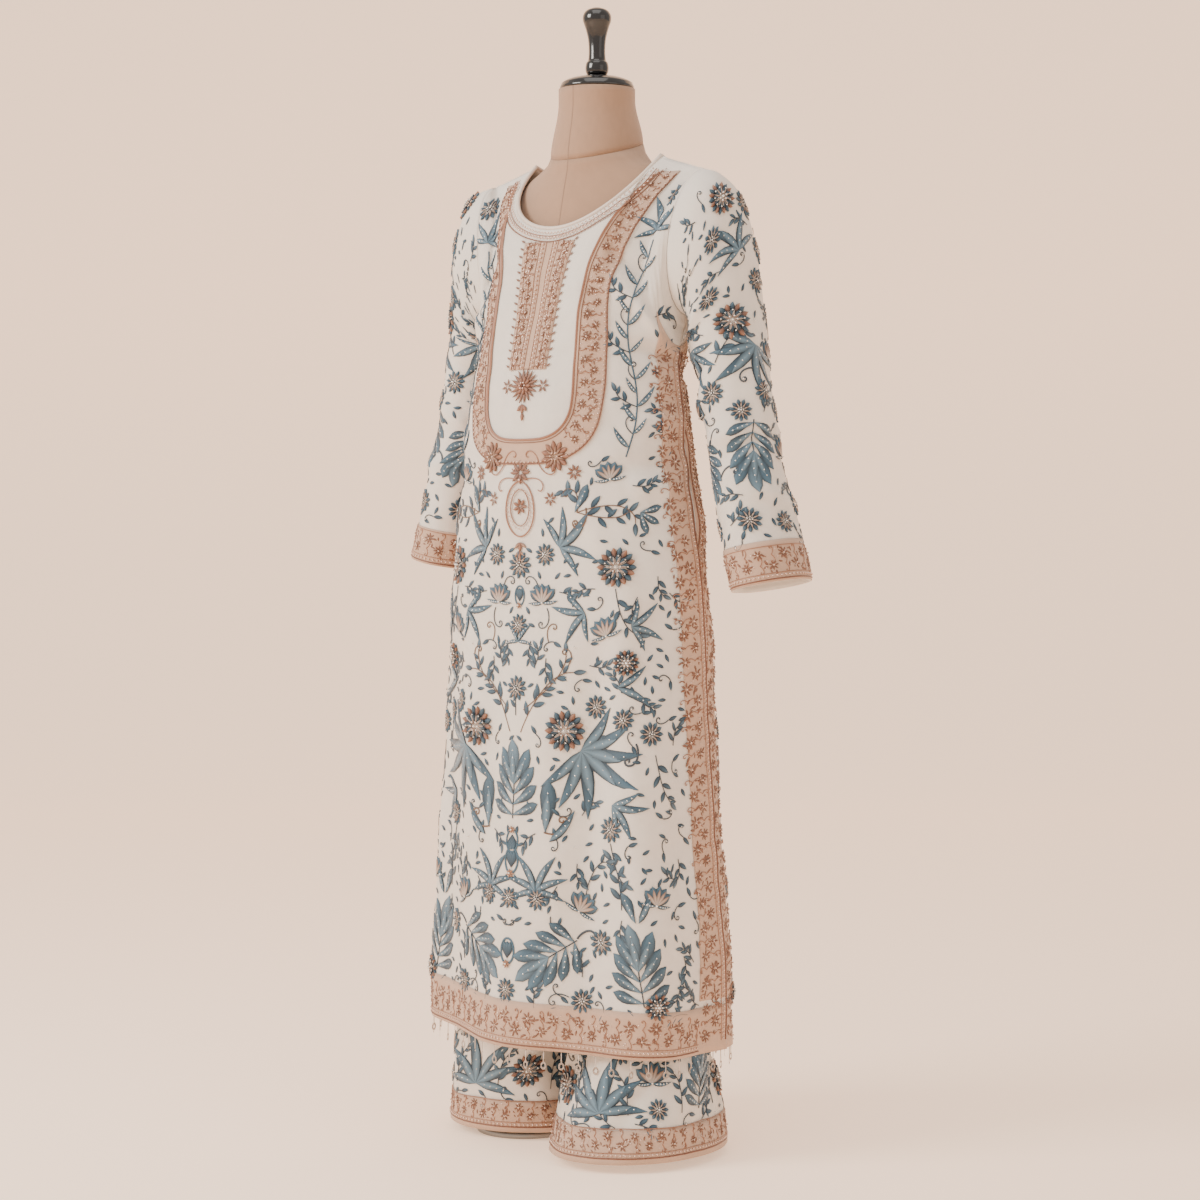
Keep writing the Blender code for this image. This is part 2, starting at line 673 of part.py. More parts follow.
# ---- trousers ---------------------------------------------------------------------------------
def leg_point(table, angle, z):
    """A point of the left leg's outer side; the angle runs from the inseam round the front."""
    ring = {name: curve_value(table, z, "z", name) for name in ("x", "y", "half_x", "half_y")}
    turn = math.pi + angle
    leg = np.array([ring["x"] + ring["half_x"] * math.cos(turn),
                    ring["y"] + ring["half_y"] * math.sin(turn), z])
    half_width = curve_value(HIPS, z, "z", "half_width")
    depth = curve_value(HIPS, z, "z", "front" if angle < math.pi else "back")
    hip = np.array([half_width * math.sin(angle / 2), -depth * math.cos(angle / 2), z])
    part = ease((z - CROTCH) / (HIP_LINE - CROTCH))
    return leg * (1 - part) + hip * part


def leg_grid(table):
    """One leg's outer points and normals, its first and last columns on the inseam."""
    hem = table[0].z
    heights = [hem, hem + LEG_BORDER, 0.11, 0.21, 0.35, 0.49, CROTCH, 0.64, 0.67, HIP_LINE,
               0.84, TROUSER_TOP]
    rows = []
    for z in heights:
        angles = [2 * math.pi * step / LEG_STEPS for step in range(LEG_STEPS + 1)]
        rows.append([leg_point(table, angle, z) for angle in angles])
    points = np.array(rows)
    normals = grid_normals(points, False)
    for row, z in enumerate(heights):
        if z <= CROTCH:
            shared = unit(normals[row, 0] + normals[row, -1])
            points[row, 0, 1] -= GAP / 2
            points[row, -1, 1] += GAP / 2
            normals[row, 0] = shared
            normals[row, -1] = shared
    for column in (0, -1):
        normals[:, column, 0] = np.minimum(normals[:, column, 0], 0.0)
        if_level = np.array(heights) >= HIP_LINE
        normals[if_level, column, 0] = 0.0
    normals = unit(normals)
    points[..., 0] = np.maximum(points[..., 0], GAP / 2)
    return points, normals


def make_trousers(cloth, trim):
    """Both legs, their hem borders and the waistband."""
    for name, table in (("left", LEG_LEFT), ("right", LEG_RIGHT)):
        points, normals = leg_grid(table)
        border = lay_on(points[:2], normals[:2], GAP + TRIM)[:, :-1]
        border_normals = normals[:2, :-1]
        if name == "right":
            points = mirror_columns(points)
            normals = mirror_columns(normals)
            border = mirror_columns(border)
            border_normals = mirror_columns(border_normals)
        wall(f"trouser_{name}", points, normals, CLOTH, cloth)
        wall(f"trouser_border_{name}", border, border_normals, TRIM, trim, closed=True)
    rows = []
    steps = 2 * LEG_STEPS
    for z in (TROUSER_TOP + GAP, TROUSER_TOP + WAISTBAND):
        ring = []
        for step in range(steps):
            angle = 2 * math.pi * step / steps
            depth = curve_value(HIPS, z, "z", "front" if math.cos(angle) > 0 else "back")
            ring.append((curve_value(HIPS, z, "z", "half_width") * math.sin(angle),
                         -depth * math.cos(angle), z))
        rows.append(ring)
    points = np.array(rows)
    wall("waistband", points, grid_normals(points, True), CLOTH, cloth, closed=True)


# ---- the dress form ---------------------------------------------------------------------------
def form_ring(z, steps=FORM_STEPS):
    """One ring of the form's torso, level low down and tilted at the neck."""
    names = ("half_width", "front", "back", "squareness", "rise")
    size = {name: curve_value(FORM, z, "z", name) for name in names}
    middle = (size["back"] - size["front"]) / 2
    half_depth = (size["back"] + size["front"]) / 2
    power = 2.0 / size["squareness"]
    points = []
    for step in range(steps):
        angle = 2 * math.pi * step / steps
        across = math.sin(angle)
        along = -math.cos(angle)
        x = math.copysign(abs(across) ** power, across) * size["half_width"]
        share = math.copysign(abs(along) ** power, along)
        points.append((x, middle + share * half_depth, z + size["rise"] / 2 * share))
    return points


def closed_stack(name, rings, material):
    """A solid through level rings of equal count, with flat ends."""
    points = np.array(rings)
    rows, columns = points.shape[:2]
    faces = grid_triangles(rows, columns, True, 0)
    faces.append(tuple(range(columns))[::-1])
    faces.append(tuple(range((rows - 1) * columns, rows * columns)))
    return add_object(name, points.reshape(-1, 3), faces, material)


def form_heights():
    """Heights of the torso's rings: its table's rows and one between each far pair."""
    heights = [row.z for row in FORM]
    between = [(low + high) / 2 for low, high in zip(heights, heights[1:]) if high - low > 0.03]
    return sorted(heights + between)


def neck_ring(height_share):
    """One ring of the neck, tilted at its base and level at its top."""
    base = FORM[-1]
    radius = base.half_width + (0.0525 - base.half_width) * ease(height_share * 1.25)
    middle = (base.back - base.front) / 2
    points = []
    for step in range(FORM_STEPS):
        angle = 2 * math.pi * step / FORM_STEPS
        low = base.z - base.rise / 2 * math.cos(angle) + GAP
        z = low + (NECK_TOP - low) * height_share
        points.append((radius * math.sin(angle), middle - radius * math.cos(angle), z))
    return points


def spun(name, profile, centre, steps, material):
    """A solid turned about a vertical axis from (radius, height) pairs that climb."""
    rings = []
    for radius, height in profile:
        rings.append([(centre[0] + radius * math.sin(2 * math.pi * step / steps),
                       centre[1] - radius * math.cos(2 * math.pi * step / steps),
                       centre[2] + height) for step in range(steps)])
    return closed_stack(name, rings, material)


def make_form(materials):
    """Torso, neck, cap, finial, posts and feet."""
    jersey = materials["form_jersey"]
    black = materials["black_lacquer"]
    metal = materials["stand_metal"]
    closed_stack("form_torso", [form_ring(z) for z in form_heights()], jersey)
    closed_stack("form_neck", [neck_ring(step / 5) for step in range(6)], jersey)
    dome = [(CAP_RADIUS, 0.0), (CAP_RADIUS, 0.004)]
    dome += [(CAP_RADIUS * math.cos(math.radians(turn)),
              0.004 + (CAP_HEIGHT - 0.004) * math.sin(math.radians(turn)))
             for turn in (20, 40, 60, 76)]
    cap_base = NECK_TOP + GAP
    spun("neck_cap", dome, (0.0, NECK_AXIS_Y, cap_base), 32, black)
    crown = cap_base + dome[-1][1] + GAP
    spun("finial", [(ring.radius, ring.height) for ring in FINIAL], (0.0, NECK_AXIS_Y, crown), 24,
         black)
    for name, x in (("left", POST_X), ("right", -POST_X)):
        spun(f"foot_{name}", [(FOOT_RADIUS, 0.0), (FOOT_RADIUS, FOOT_HEIGHT * 0.6),
                              (FOOT_RADIUS * 0.93, FOOT_HEIGHT)], (x, 0.0, 0.0), 32, metal)
        spun(f"post_{name}", [(POST_RADIUS, FOOT_HEIGHT + GAP), (POST_RADIUS, FORM_BOTTOM - GAP)],
             (x, 0.0, 0.0), 16, metal)


def main():
    """Build every piece."""
    clear_scene()
    materials = make_materials()
    front = panel_grid(False)
    back = panel_grid(True)
    front_normals, back_normals = seam_panels(front, back)
    crepe = materials["ivory_crepe"]
    trim = materials["tan_embroidery"]
    wall("front_panel", front, front_normals, CLOTH, crepe)
    wall("back_panel", back, back_normals, CLOTH, crepe)
    make_sleeves(front, back, front_normals, back_normals, crepe, trim)
    make_neck_binding(front, back, front_normals, back_normals, crepe)
    make_bib_band(front, front_normals, trim)
    for name, panel, normals in (("front", front, front_normals), ("back", back, back_normals)):
        make_borders(name, panel, normals, trim)
        make_fringe(name, panel, normals, materials["thread_fringe"])
    make_trousers(materials["ivory_trousers"], trim)
    make_form(materials)


main()
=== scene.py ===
# %% [markdown]
# # Salwar kameez suit on a dress form
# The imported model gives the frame: one body, "root", with every panel, border and stand part. This
# file builds the cloth again as fine sheets on the same sections, then embroiders them.

# %% Load the frame
import math
import random
from collections import namedtuple

import bmesh
import bpy
import numpy as np
from mathutils import Matrix, Vector, noise


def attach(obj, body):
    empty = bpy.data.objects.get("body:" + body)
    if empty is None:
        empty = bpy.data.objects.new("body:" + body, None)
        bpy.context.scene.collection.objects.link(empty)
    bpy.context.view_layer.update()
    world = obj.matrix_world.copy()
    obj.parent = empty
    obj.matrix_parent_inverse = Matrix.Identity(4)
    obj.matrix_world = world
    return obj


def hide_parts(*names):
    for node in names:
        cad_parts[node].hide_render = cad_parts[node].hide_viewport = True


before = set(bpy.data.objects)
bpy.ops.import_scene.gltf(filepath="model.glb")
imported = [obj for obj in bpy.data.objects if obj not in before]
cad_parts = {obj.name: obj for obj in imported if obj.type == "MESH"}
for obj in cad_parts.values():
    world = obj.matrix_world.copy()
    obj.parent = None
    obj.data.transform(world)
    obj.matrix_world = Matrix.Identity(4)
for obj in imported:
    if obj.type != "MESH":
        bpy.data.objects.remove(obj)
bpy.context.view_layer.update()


def new_object(name, data):
    """An object with this data, linked to the scene."""
    item = bpy.data.objects.new(name, data)
    bpy.context.scene.collection.objects.link(item)
    return item


def piece(name, mesh, node):
    """A mesh that rides the one body and may stand for a node."""
    item = new_object(name, mesh)
    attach(item, "root")
    if node:
        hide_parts(node)
    print(name, "faces", len(mesh.polygons))
    return item


def set_inputs(node, values):
    """Set a shader node's inputs by their names."""
    for name, value in values.items():
        node.inputs[name].default_value = value


def plain_material(name, colour, roughness, more=None):
    """A Principled material with one colour; `more` sets other inputs."""
    material = bpy.data.materials.new(name)
    material.use_nodes = True
    set_inputs(material.node_tree.nodes["Principled BSDF"],
               {"Base Color": (*colour, 1), "Roughness": roughness, **(more or {})})
    return material

# %% [markdown]
# The camera comes first, because everything is judged through it. It looks from the wearer's left
# front, a little above the middle, with a long lens that keeps the hem and the neck parallel.

# %% Camera
AIM = Vector((0.0197, 0.0154, 0.742))
AZIMUTH = math.radians(38)
ELEVATION = math.radians(1.85)
DISTANCE = 3.88
camera = new_object("camera", bpy.data.cameras.new("camera"))
away = Vector((math.sin(AZIMUTH) * math.cos(ELEVATION), -math.cos(AZIMUTH) * math.cos(ELEVATION),
               math.sin(ELEVATION)))
camera.location = AIM + away * DISTANCE
camera.rotation_euler = (-away).to_track_quat("-Z", "Y").to_euler()
camera.data.lens = 85
camera.data.sensor_width = 36
bpy.context.scene.camera = camera

# %% [markdown]
# A studio: a pale floor that curves up into a backdrop, a broad key from the left, a weak fill and
# a warm world. A sweep is a profile of two lines and an arc, pulled sideways.

# %% Floor, backdrop and light
WALL = 4.2                 # where the floor starts to bend up, behind the suit
BEND = 1.6                 # radius of the bend
WALL_TOP = 9.0
HALF_SWEEP = 9.0           # half the width of the floor and the wall


def make_sweep():
    """A floor that bends up into a wall, facing the camera."""
    bm = bmesh.new()
    profile = [(-6.0, 0.0), (WALL, 0.0)]
    profile += [(WALL + BEND * math.sin(t), BEND - BEND * math.cos(t))
                for t in np.linspace(0.1, math.pi / 2, 14)]
    profile += [(WALL + BEND, WALL_TOP)]
    side = Vector((math.cos(AZIMUTH), math.sin(AZIMUTH), 0))
    ahead = Vector((-math.sin(AZIMUTH), math.cos(AZIMUTH), 0))
    verts = [bm.verts.new(ahead * d + Vector((0, 0, h)) - side * HALF_SWEEP) for d, h in profile]
    edges = [bm.edges.new(pair) for pair in zip(verts, verts[1:])]
    made = bmesh.ops.extrude_edge_only(bm, edges=edges)
    moved = [item for item in made["geom"] if isinstance(item, bmesh.types.BMVert)]
    bmesh.ops.translate(bm, verts=moved, vec=side * 2 * HALF_SWEEP)
    bmesh.ops.recalc_face_normals(bm, faces=bm.faces)
    if bm.faces[0].normal.z < 0:
        bmesh.ops.reverse_faces(bm, faces=bm.faces)
    mesh = bpy.data.meshes.new("backdrop")
    bm.to_mesh(mesh)
    bm.free()
    mesh.shade_smooth()
    mesh.materials.append(plain_material("backdrop_paper", (0.97, 0.78, 0.63), 0.9, {
        "Emission Color": (1.0, 0.70, 0.50, 1), "Emission Strength": 0.75}))
    item = new_object("backdrop", mesh)


def area_light(name, azimuth, height, distance, size, power, colour):
    """A square soft box aimed at the middle of the suit."""
    data = bpy.data.lights.new(name, "AREA")
    data.size = size
    data.energy = power
    data.color = colour
    item = new_object(name, data)
    turn = math.radians(azimuth)
    item.location = (distance * math.sin(turn), -distance * math.cos(turn), height)
    aim = Vector((0, 0, 0.8)) - item.location
    item.rotation_euler = aim.to_track_quat("-Z", "Y").to_euler()


make_sweep()
area_light("key", -30, 2.5, 3.4, 1.6, 135, (1.0, 0.96, 0.90))
area_light("fill", 85, 1.8, 3.6, 2.2, 10, (1.0, 0.93, 0.86))
area_light("top", 30, 4.0, 1.2, 2.5, 42, (1.0, 0.96, 0.92))
world = bpy.data.worlds.new("studio")
world.use_nodes = True
set_inputs(world.node_tree.nodes["Background"], {"Color": (1.0, 0.89, 0.80, 1), "Strength": 0.80})
bpy.context.scene.world = world

# %% [markdown]
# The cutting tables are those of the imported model, in metres: sections of the kameez by height,
# rings of the sleeves and the legs, and the form's rings. A smooth curve runs through each column.

# %% Sizes and tables
CLOTH = 0.0015
GAP = 0.0004
HEM_HEIGHT = 0.153
HEM_TILT = 0.010
SLIT_TOP = 0.840
CHEST_LINE = 1.050
SHOULDER_POINT = (0.182, 0.035, 1.320)
NECK_POINT = (0.110, 0.035, 1.342)
FRONT_NECK = (0.0, -0.061, 1.243)
BACK_NECK = (0.0, 0.105, 1.310)
UNDERARM = (0.163, 0.024, 1.125)
NECK_SWEEP = 1.3
FRONT_REACH = 0.054
BACK_REACH = 0.050
FRONT_PINCH = 0.008
BACK_PINCH = 0.010
NECK_STEPS = 5
SHOULDER_STEPS = 3
ARMHOLE_STEPS = 5
HALF_STEPS = NECK_STEPS + SHOULDER_STEPS + ARMHOLE_STEPS
SLIT_WRAP = math.radians(15)
SLIT_OVERLAP = math.radians(5)
OVERLAP_START = 0.10
BACK_TUCK = 0.006
FLUTE = 0.011
FLUTE_COUNT = 6
FLUTE_CREST = math.radians(57)
FLUTE_TOP = 0.780
CROTCH = 0.610
HIP_LINE = 0.730
TROUSER_TOP = 0.945
SLEEVE_LEAN = math.radians(12)
NECK_AXIS_Y = 0.034
NECK_TOP = 1.441

Section = namedtuple("Section", "z half_width front back")
KAMEEZ = (
    Section(0.120, 0.2215, 0.160, 0.159),
    Section(0.150, 0.220, 0.158, 0.156),
    Section(0.266, 0.221, 0.151, 0.143),
    Section(0.470, 0.213, 0.142, 0.136),
    Section(0.647, 0.207, 0.137, 0.128),
    Section(0.742, 0.204, 0.1345, 0.118),
    Section(0.857, 0.190, 0.130, 0.100),
    Section(0.974, 0.171, 0.1285, 0.090),
    Section(1.050, 0.164, 0.1175, 0.095),
    Section(1.120, 0.158, 0.096, 0.100),
)
HIPS = (
    Section(0.600, 0.166, 0.114, 0.106),
    Section(0.730, 0.162, 0.114, 0.104),
    Section(0.800, 0.157, 0.112, 0.096),
    Section(0.900, 0.146, 0.108, 0.087),
    Section(0.945, 0.136, 0.104, 0.083),
    Section(0.990, 0.133, 0.103, 0.082),
)
Lean = namedtuple("Lean", "place x y z")
FRONT_LEAN = (
    Lean("centre", 0.00, 0.29, 0.96),
    Lean("neck", 0.06, 0.84, 0.54),
    Lean("shoulder", 0.60, 0.58, 0.55),
    Lean("armhole", 0.26, 0.20, 0.90),
    Lean("underarm", 0.26, 0.06, 0.94),
)
BACK_LEAN = (
    Lean("centre", 0.00, -0.06, 0.99),
    Lean("neck", 0.06, -0.84, 0.54),
    Lean("shoulder", 0.60, -0.58, 0.55),
    Lean("armhole", 0.30, 0.06, 0.90),
    Lean("underarm", 0.26, 0.06, 0.94),
)
Ring = namedtuple("Ring", "z x y half_x half_y")
SLEEVE_LEFT = (
    Ring(1.100, 0.2130, 0.0495, 0.0450, 0.0600),
    Ring(0.974, 0.2340, 0.0490, 0.0450, 0.0570),
    Ring(0.860, 0.2594, 0.0470, 0.0460, 0.0600),
    Ring(0.765, 0.2830, 0.0480, 0.0490, 0.0620),
)
SLEEVE_RIGHT = (
    Ring(1.100, 0.2130, 0.0495, 0.0450, 0.0600),
    Ring(0.980, 0.2340, 0.0490, 0.0450, 0.0570),
    Ring(0.880, 0.2570, 0.0470, 0.0460, 0.0600),
    Ring(0.790, 0.2780, 0.0480, 0.0490, 0.0620),
)
LEG_LEFT = (
    Ring(0.012, 0.115, -0.022, 0.108, 0.136),
    Ring(0.075, 0.113, -0.016, 0.098, 0.118),
    Ring(0.150, 0.110, -0.007, 0.088, 0.097),
    Ring(0.300, 0.104, -0.004, 0.083, 0.100),
    Ring(0.450, 0.096, 0.000, 0.083, 0.094),
    Ring(0.610, 0.0885, 0.000, 0.0875, 0.092),
)
LEG_RIGHT = (
    Ring(0.012, 0.115, 0.020, 0.108, 0.103),
    Ring(0.075, 0.112, 0.016, 0.100, 0.100),
    Ring(0.150, 0.108, 0.009, 0.085, 0.095),
    Ring(0.300, 0.104, 0.004, 0.083, 0.096),
    Ring(0.450, 0.096, 0.000, 0.083, 0.094),
    Ring(0.610, 0.0885, 0.000, 0.0875, 0.092),
)
FormRing = namedtuple("FormRing", "z half_width front back squareness rise")
FORM = (
    FormRing(0.700, 0.112, 0.080, 0.064, 2.0, 0.0),
    FormRing(0.712, 0.124, 0.091, 0.073, 2.0, 0.0),
    FormRing(0.800, 0.136, 0.098, 0.082, 2.0, 0.0),
    FormRing(0.900, 0.130, 0.096, 0.076, 2.0, 0.0),
    FormRing(0.975, 0.122, 0.092, 0.072, 2.0, 0.0),
    FormRing(1.050, 0.138, 0.104, 0.082, 2.0, 0.0),
    FormRing(1.120, 0.143, 0.084, 0.088, 2.1, 0.0),
    FormRing(1.190, 0.145, 0.066, 0.094, 2.0, 0.0),
    FormRing(1.240, 0.146, 0.052, 0.096, 1.75, 0.0),
    FormRing(1.280, 0.144, 0.043, 0.096, 1.5, 0.0),
    FormRing(1.305, 0.132, 0.037, 0.096, 1.4, 0.0),
    FormRing(1.325, 0.108, 0.033, 0.096, 1.45, 0.010),
    FormRing(1.341, 0.078, 0.031, 0.0970, 1.75, 0.025),
    FormRing(1.357, 0.0635, 0.0300, 0.0975, 2.0, 0.035),
)


def ease(value):
    """Smooth step from 0 to 1."""
    value = min(max(value, 0.0), 1.0)
    return value * value * (3.0 - 2.0 * value)


def unit(vectors):
    """Vectors of length one."""
    vectors = np.asarray(vectors, float)
    return vectors / np.maximum(np.linalg.norm(vectors, axis=-1, keepdims=True), 1e-12)


def lengths(points, axis=0):
    """Distances travelled along one axis of a path or a grid, starting from nought."""
    steps = np.linalg.norm(np.diff(points, axis=axis), axis=-1)
    start = np.zeros_like(np.take(points[..., 0], [0], axis=axis))
    return np.concatenate([start, np.cumsum(steps, axis=axis)], axis=axis)


def point_on(path, travelled, where):
    """The point of a path at this distance along it."""
    return np.array([np.interp(where, travelled, path[:, axis]) for axis in range(path.shape[1])])


def curve_value(table, at, column):
    """A smooth curve through one column of a table, read at this height."""
    keys = [row.z for row in table]
    values = [getattr(row, column) for row in table]
    if keys[0] > keys[-1]:
        keys = keys[::-1]
        values = values[::-1]
    at = min(max(at, keys[0]), keys[-1])
    index = min(max(int(np.searchsorted(keys, at)) - 1, 0), len(keys) - 2)
    slopes = np.gradient(values, keys)
    span = keys[index + 1] - keys[index]
    return hermite(values[index], span * slopes[index], values[index + 1],
                   span * slopes[index + 1], (at - keys[index]) / span)


def hermite(start, start_run, end, end_run, part):
    """A point on the curve that leaves start along start_run and arrives at end along end_run."""
    square = part * part
    cube = square * part
    return ((2 * cube - 3 * square + 1) * start + (cube - 2 * square + part) * start_run
            + (3 * square - 2 * cube) * end + (cube - square) * end_run)

# %% [markdown]
# A panel is a grid of columns. Each column climbs through the kameez's sections to the chest line,
# then runs up a smooth curve to its place on the neckline, the shoulder seam or the armhole.

# %% The kameez's panels


def hem_height(angle):
    """Height of the hem at an angle from the centre front."""
    return HEM_HEIGHT - HEM_TILT * math.sin(angle)


def skirt_point(angle, z, tuck=0.0):
    """A point of the kameez's ring at this height and angle from the centre front."""
    half_width = curve_value(KAMEEZ, z, "half_width")
    depth = curve_value(KAMEEZ, z, "front" if math.cos(angle) > 0 else "back")
    swell = ease((FLUTE_TOP - z) / (FLUTE_TOP - HEM_HEIGHT))
    reach = FLUTE * swell * math.cos(FLUTE_COUNT * (angle - FLUTE_CREST)) - tuck
    return np.array([(half_width + reach) * math.sin(angle), -(depth + reach) * math.cos(angle), z])


def panel_angle(share, z, back):
    """Angle of a panel's column, from the centre front, for its share from -1 to 1."""
    edge = math.pi / 2 + SLIT_WRAP * ease((SLIT_TOP - z) / (SLIT_TOP - HEM_HEIGHT))
    if not back:
        return share * edge
    edge -= (SLIT_OVERLAP + 0.01) * ease((SLIT_TOP - OVERLAP_START - z) / 0.20)
    return math.pi + share * (math.pi - edge)


def top_edge(share, back):
    """The panel's top edge: neckline, shoulder seam, then armhole."""
    step = abs(share) * HALF_STEPS
    if step <= NECK_STEPS:
        turn = math.pi / 2 * step / NECK_STEPS
        low = np.array(BACK_NECK if back else FRONT_NECK)
        high = np.array(NECK_POINT)
        rise = 1.0 - math.cos(turn)
        point = np.array([high[0] * math.sin(turn),
                          low[1] + (high[1] - low[1]) * rise ** NECK_SWEEP,
                          low[2] + (high[2] - low[2]) * rise])
    elif step <= NECK_STEPS + SHOULDER_STEPS:
        part = (step - NECK_STEPS) / SHOULDER_STEPS
        point = np.array(NECK_POINT) * (1 - part) + np.array(SHOULDER_POINT) * part
    else:
        turn = math.pi * (step - NECK_STEPS - SHOULDER_STEPS) / ARMHOLE_STEPS
        down = (1.0 - math.cos(turn)) / 2
        point = np.array(SHOULDER_POINT) * (1 - down) + np.array(UNDERARM) * down
        point[0] -= (BACK_PINCH if back else FRONT_PINCH) * math.sin(turn)
        point[1] += (BACK_REACH if back else -FRONT_REACH) * math.sin(turn)
    point[0] *= 1.0 if share >= 0 else -1.0
    return point


def top_lean(share, back):
    """Which way a column runs as it reaches the panel's top edge."""
    table = BACK_LEAN if back else FRONT_LEAN
    stops = [0.0, NECK_STEPS, NECK_STEPS + SHOULDER_STEPS, HALF_STEPS - ARMHOLE_STEPS / 2,
             HALF_STEPS]
    step = abs(share) * HALF_STEPS
    lean = np.array([np.interp(step, stops, [getattr(row, axis) for row in table])
                     for axis in ("x", "y", "z")])
    lean[0] *= 1.0 if share >= 0 else -1.0
    return unit(lean)


def panel_column(share, back, skirt_rows=34, upper_rows=15):
    """One column of a panel, from the hem to its top edge."""
    hem = hem_height(panel_angle(share, HEM_HEIGHT, back))
    points = []
    for z in np.linspace(hem, CHEST_LINE, skirt_rows + 1):
        tuck = BACK_TUCK * ease((SLIT_TOP - z) / 0.05) if back else 0.0
        points.append(skirt_point(panel_angle(share, z, back), z, tuck))
    angle = panel_angle(share, CHEST_LINE, back)
    run = unit(skirt_point(angle, CHEST_LINE + 0.005) - skirt_point(angle, CHEST_LINE - 0.005))
    travel = -share if back else share
    base = points[-1]
    end = top_edge(travel, back)
    length = np.linalg.norm(end - base)
    for row in range(1, upper_rows + 1):
        points.append(hermite(base, run * length, end, top_lean(travel, back) * length,
                              row / upper_rows))
    return np.array(points)


def finer(points, times, axis, closed=False):
    """The same grid with `times` steps for each step along one axis, on a smooth curve."""
    points = np.moveaxis(points, axis, 0)
    if closed:
        before = np.roll(points, 1, axis=0)
        after = np.roll(points, -1, axis=0)
        slopes = (after - before) / 2
        low, high, low_run, high_run = points, after, slopes, np.roll(slopes, -1, axis=0)
    else:
        slopes = np.gradient(points, axis=0)
        low, high, low_run, high_run = points[:-1], points[1:], slopes[:-1], slopes[1:]
    steps = [hermite(low, low_run, high, high_run, step / times) for step in range(times)]
    made = np.stack(steps, axis=1).reshape(-1, *points.shape[1:])
    if not closed:
        made = np.concatenate([made, points[-1:]])
    return np.moveaxis(made, 0, axis)


def grid_normals(points, closed):
    """Outward normals of a grid whose rows climb and whose columns run anticlockwise."""
    rows = np.gradient(points, axis=0)
    if closed:
        columns = np.roll(points, -1, axis=1) - np.roll(points, 1, axis=1)
    else:
        columns = np.gradient(points, axis=1)
    return unit(np.cross(columns, rows))


def panel_grid(back):
    """A whole panel, its columns running anticlockwise as seen from above."""
    shares = np.linspace(-1, 1, 4 * HALF_STEPS + 1)
    grid = np.stack([panel_column(share, back) for share in shares], axis=1)
    return finer(finer(grid, 2 if back else 3, 1), 3, 0)


# %% [markdown]
# Cloth never hangs as a perfect tube. A crease is a soft ridge or trough between two places on the
# cloth: it is deepest in its middle and fades at both ends. Each is listed in its table, and a slow,
# uneven wave lies under them all.

# %% Creases
Crease = namedtuple("Crease", "across_from up_from across_to up_to width depth")
FRONT_CREASES = (
    Crease(0.225, 1.090, 0.120, 1.165, 0.013, 0.0055),
    Crease(0.235, 1.070, 0.130, 1.080, 0.012, -0.0045),
    Crease(0.205, 1.150, 0.110, 1.235, 0.012, -0.0040),
    Crease(-0.225, 1.090, -0.120, 1.160, 0.013, 0.0050),
    Crease(-0.235, 1.060, -0.130, 1.075, 0.012, -0.0040),
    Crease(-0.205, 1.150, -0.115, 1.230, 0.012, -0.0035),
    Crease(0.250, 1.000, 0.140, 0.960, 0.016, 0.0040),
    Crease(0.240, 0.950, 0.120, 0.905, 0.014, -0.0035),
    Crease(0.245, 0.900, 0.150, 0.890, 0.012, 0.0030),
    Crease(-0.250, 0.990, -0.140, 0.950, 0.016, 0.0040),
    Crease(-0.245, 0.930, -0.130, 0.900, 0.014, -0.0030),
    Crease(0.070, 1.180, 0.085, 1.000, 0.014, 0.0022),
    Crease(-0.075, 1.170, -0.090, 0.990, 0.016, 0.0025),
    Crease(0.150, 0.860, 0.190, 0.180, 0.026, 0.0050),
    Crease(0.110, 0.760, 0.125, 0.150, 0.024, -0.0045),
    Crease(0.040, 0.700, 0.060, 0.150, 0.026, 0.0035),
    Crease(-0.030, 0.800, -0.045, 0.160, 0.024, -0.0035),
    Crease(-0.095, 0.840, -0.120, 0.150, 0.028, 0.0048),
    Crease(-0.160, 0.700, -0.185, 0.150, 0.024, -0.0042),
    Crease(0.220, 0.740, 0.245, 0.160, 0.020, -0.0040),
    Crease(0.010, 0.930, -0.060, 0.820, 0.020, 0.0025),
    Crease(0.060, 0.900, 0.150, 0.780, 0.018, 0.0025),
)
BACK_CREASES = (
    Crease(0.200, 1.100, 0.110, 1.180, 0.014, 0.0050),
    Crease(-0.200, 1.100, -0.110, 1.175, 0.014, 0.0050),
    Crease(0.215, 1.050, 0.120, 1.060, 0.013, -0.0040),
    Crease(-0.215, 1.040, -0.120, 1.055, 0.013, -0.0040),
    Crease(0.150, 0.990, 0.050, 0.960, 0.018, 0.0035),
    Crease(-0.160, 0.960, -0.040, 0.940, 0.018, 0.0035),
    Crease(0.000, 0.900, 0.010, 0.170, 0.030, -0.0045),
    Crease(0.070, 0.860, 0.085, 0.160, 0.026, 0.0050),
    Crease(-0.080, 0.880, -0.095, 0.160, 0.028, 0.0045),
    Crease(0.150, 0.800, 0.175, 0.160, 0.024, -0.0045),
    Crease(-0.150, 0.780, -0.170, 0.160, 0.022, -0.0040),
    Crease(0.020, 1.290, 0.060, 1.120, 0.020, -0.0025),
)


CREASE_DEPTH = 1.7         # how much deeper than their table all the creases are cut
SWELL = 0.0034             # height of the slow wave on the kameez
LEG_SWELL = 0.0020         # and on the trousers
WAVE_SIZE = 0.09           # length of the slow wave, and of the ripples that lie on it
RIPPLE_SIZE = 0.030
RIPPLE_SHARE = 0.45        # height of the ripples beside the wave's
CALM_ROWS = 8              # rows below a seam over which the creases fade


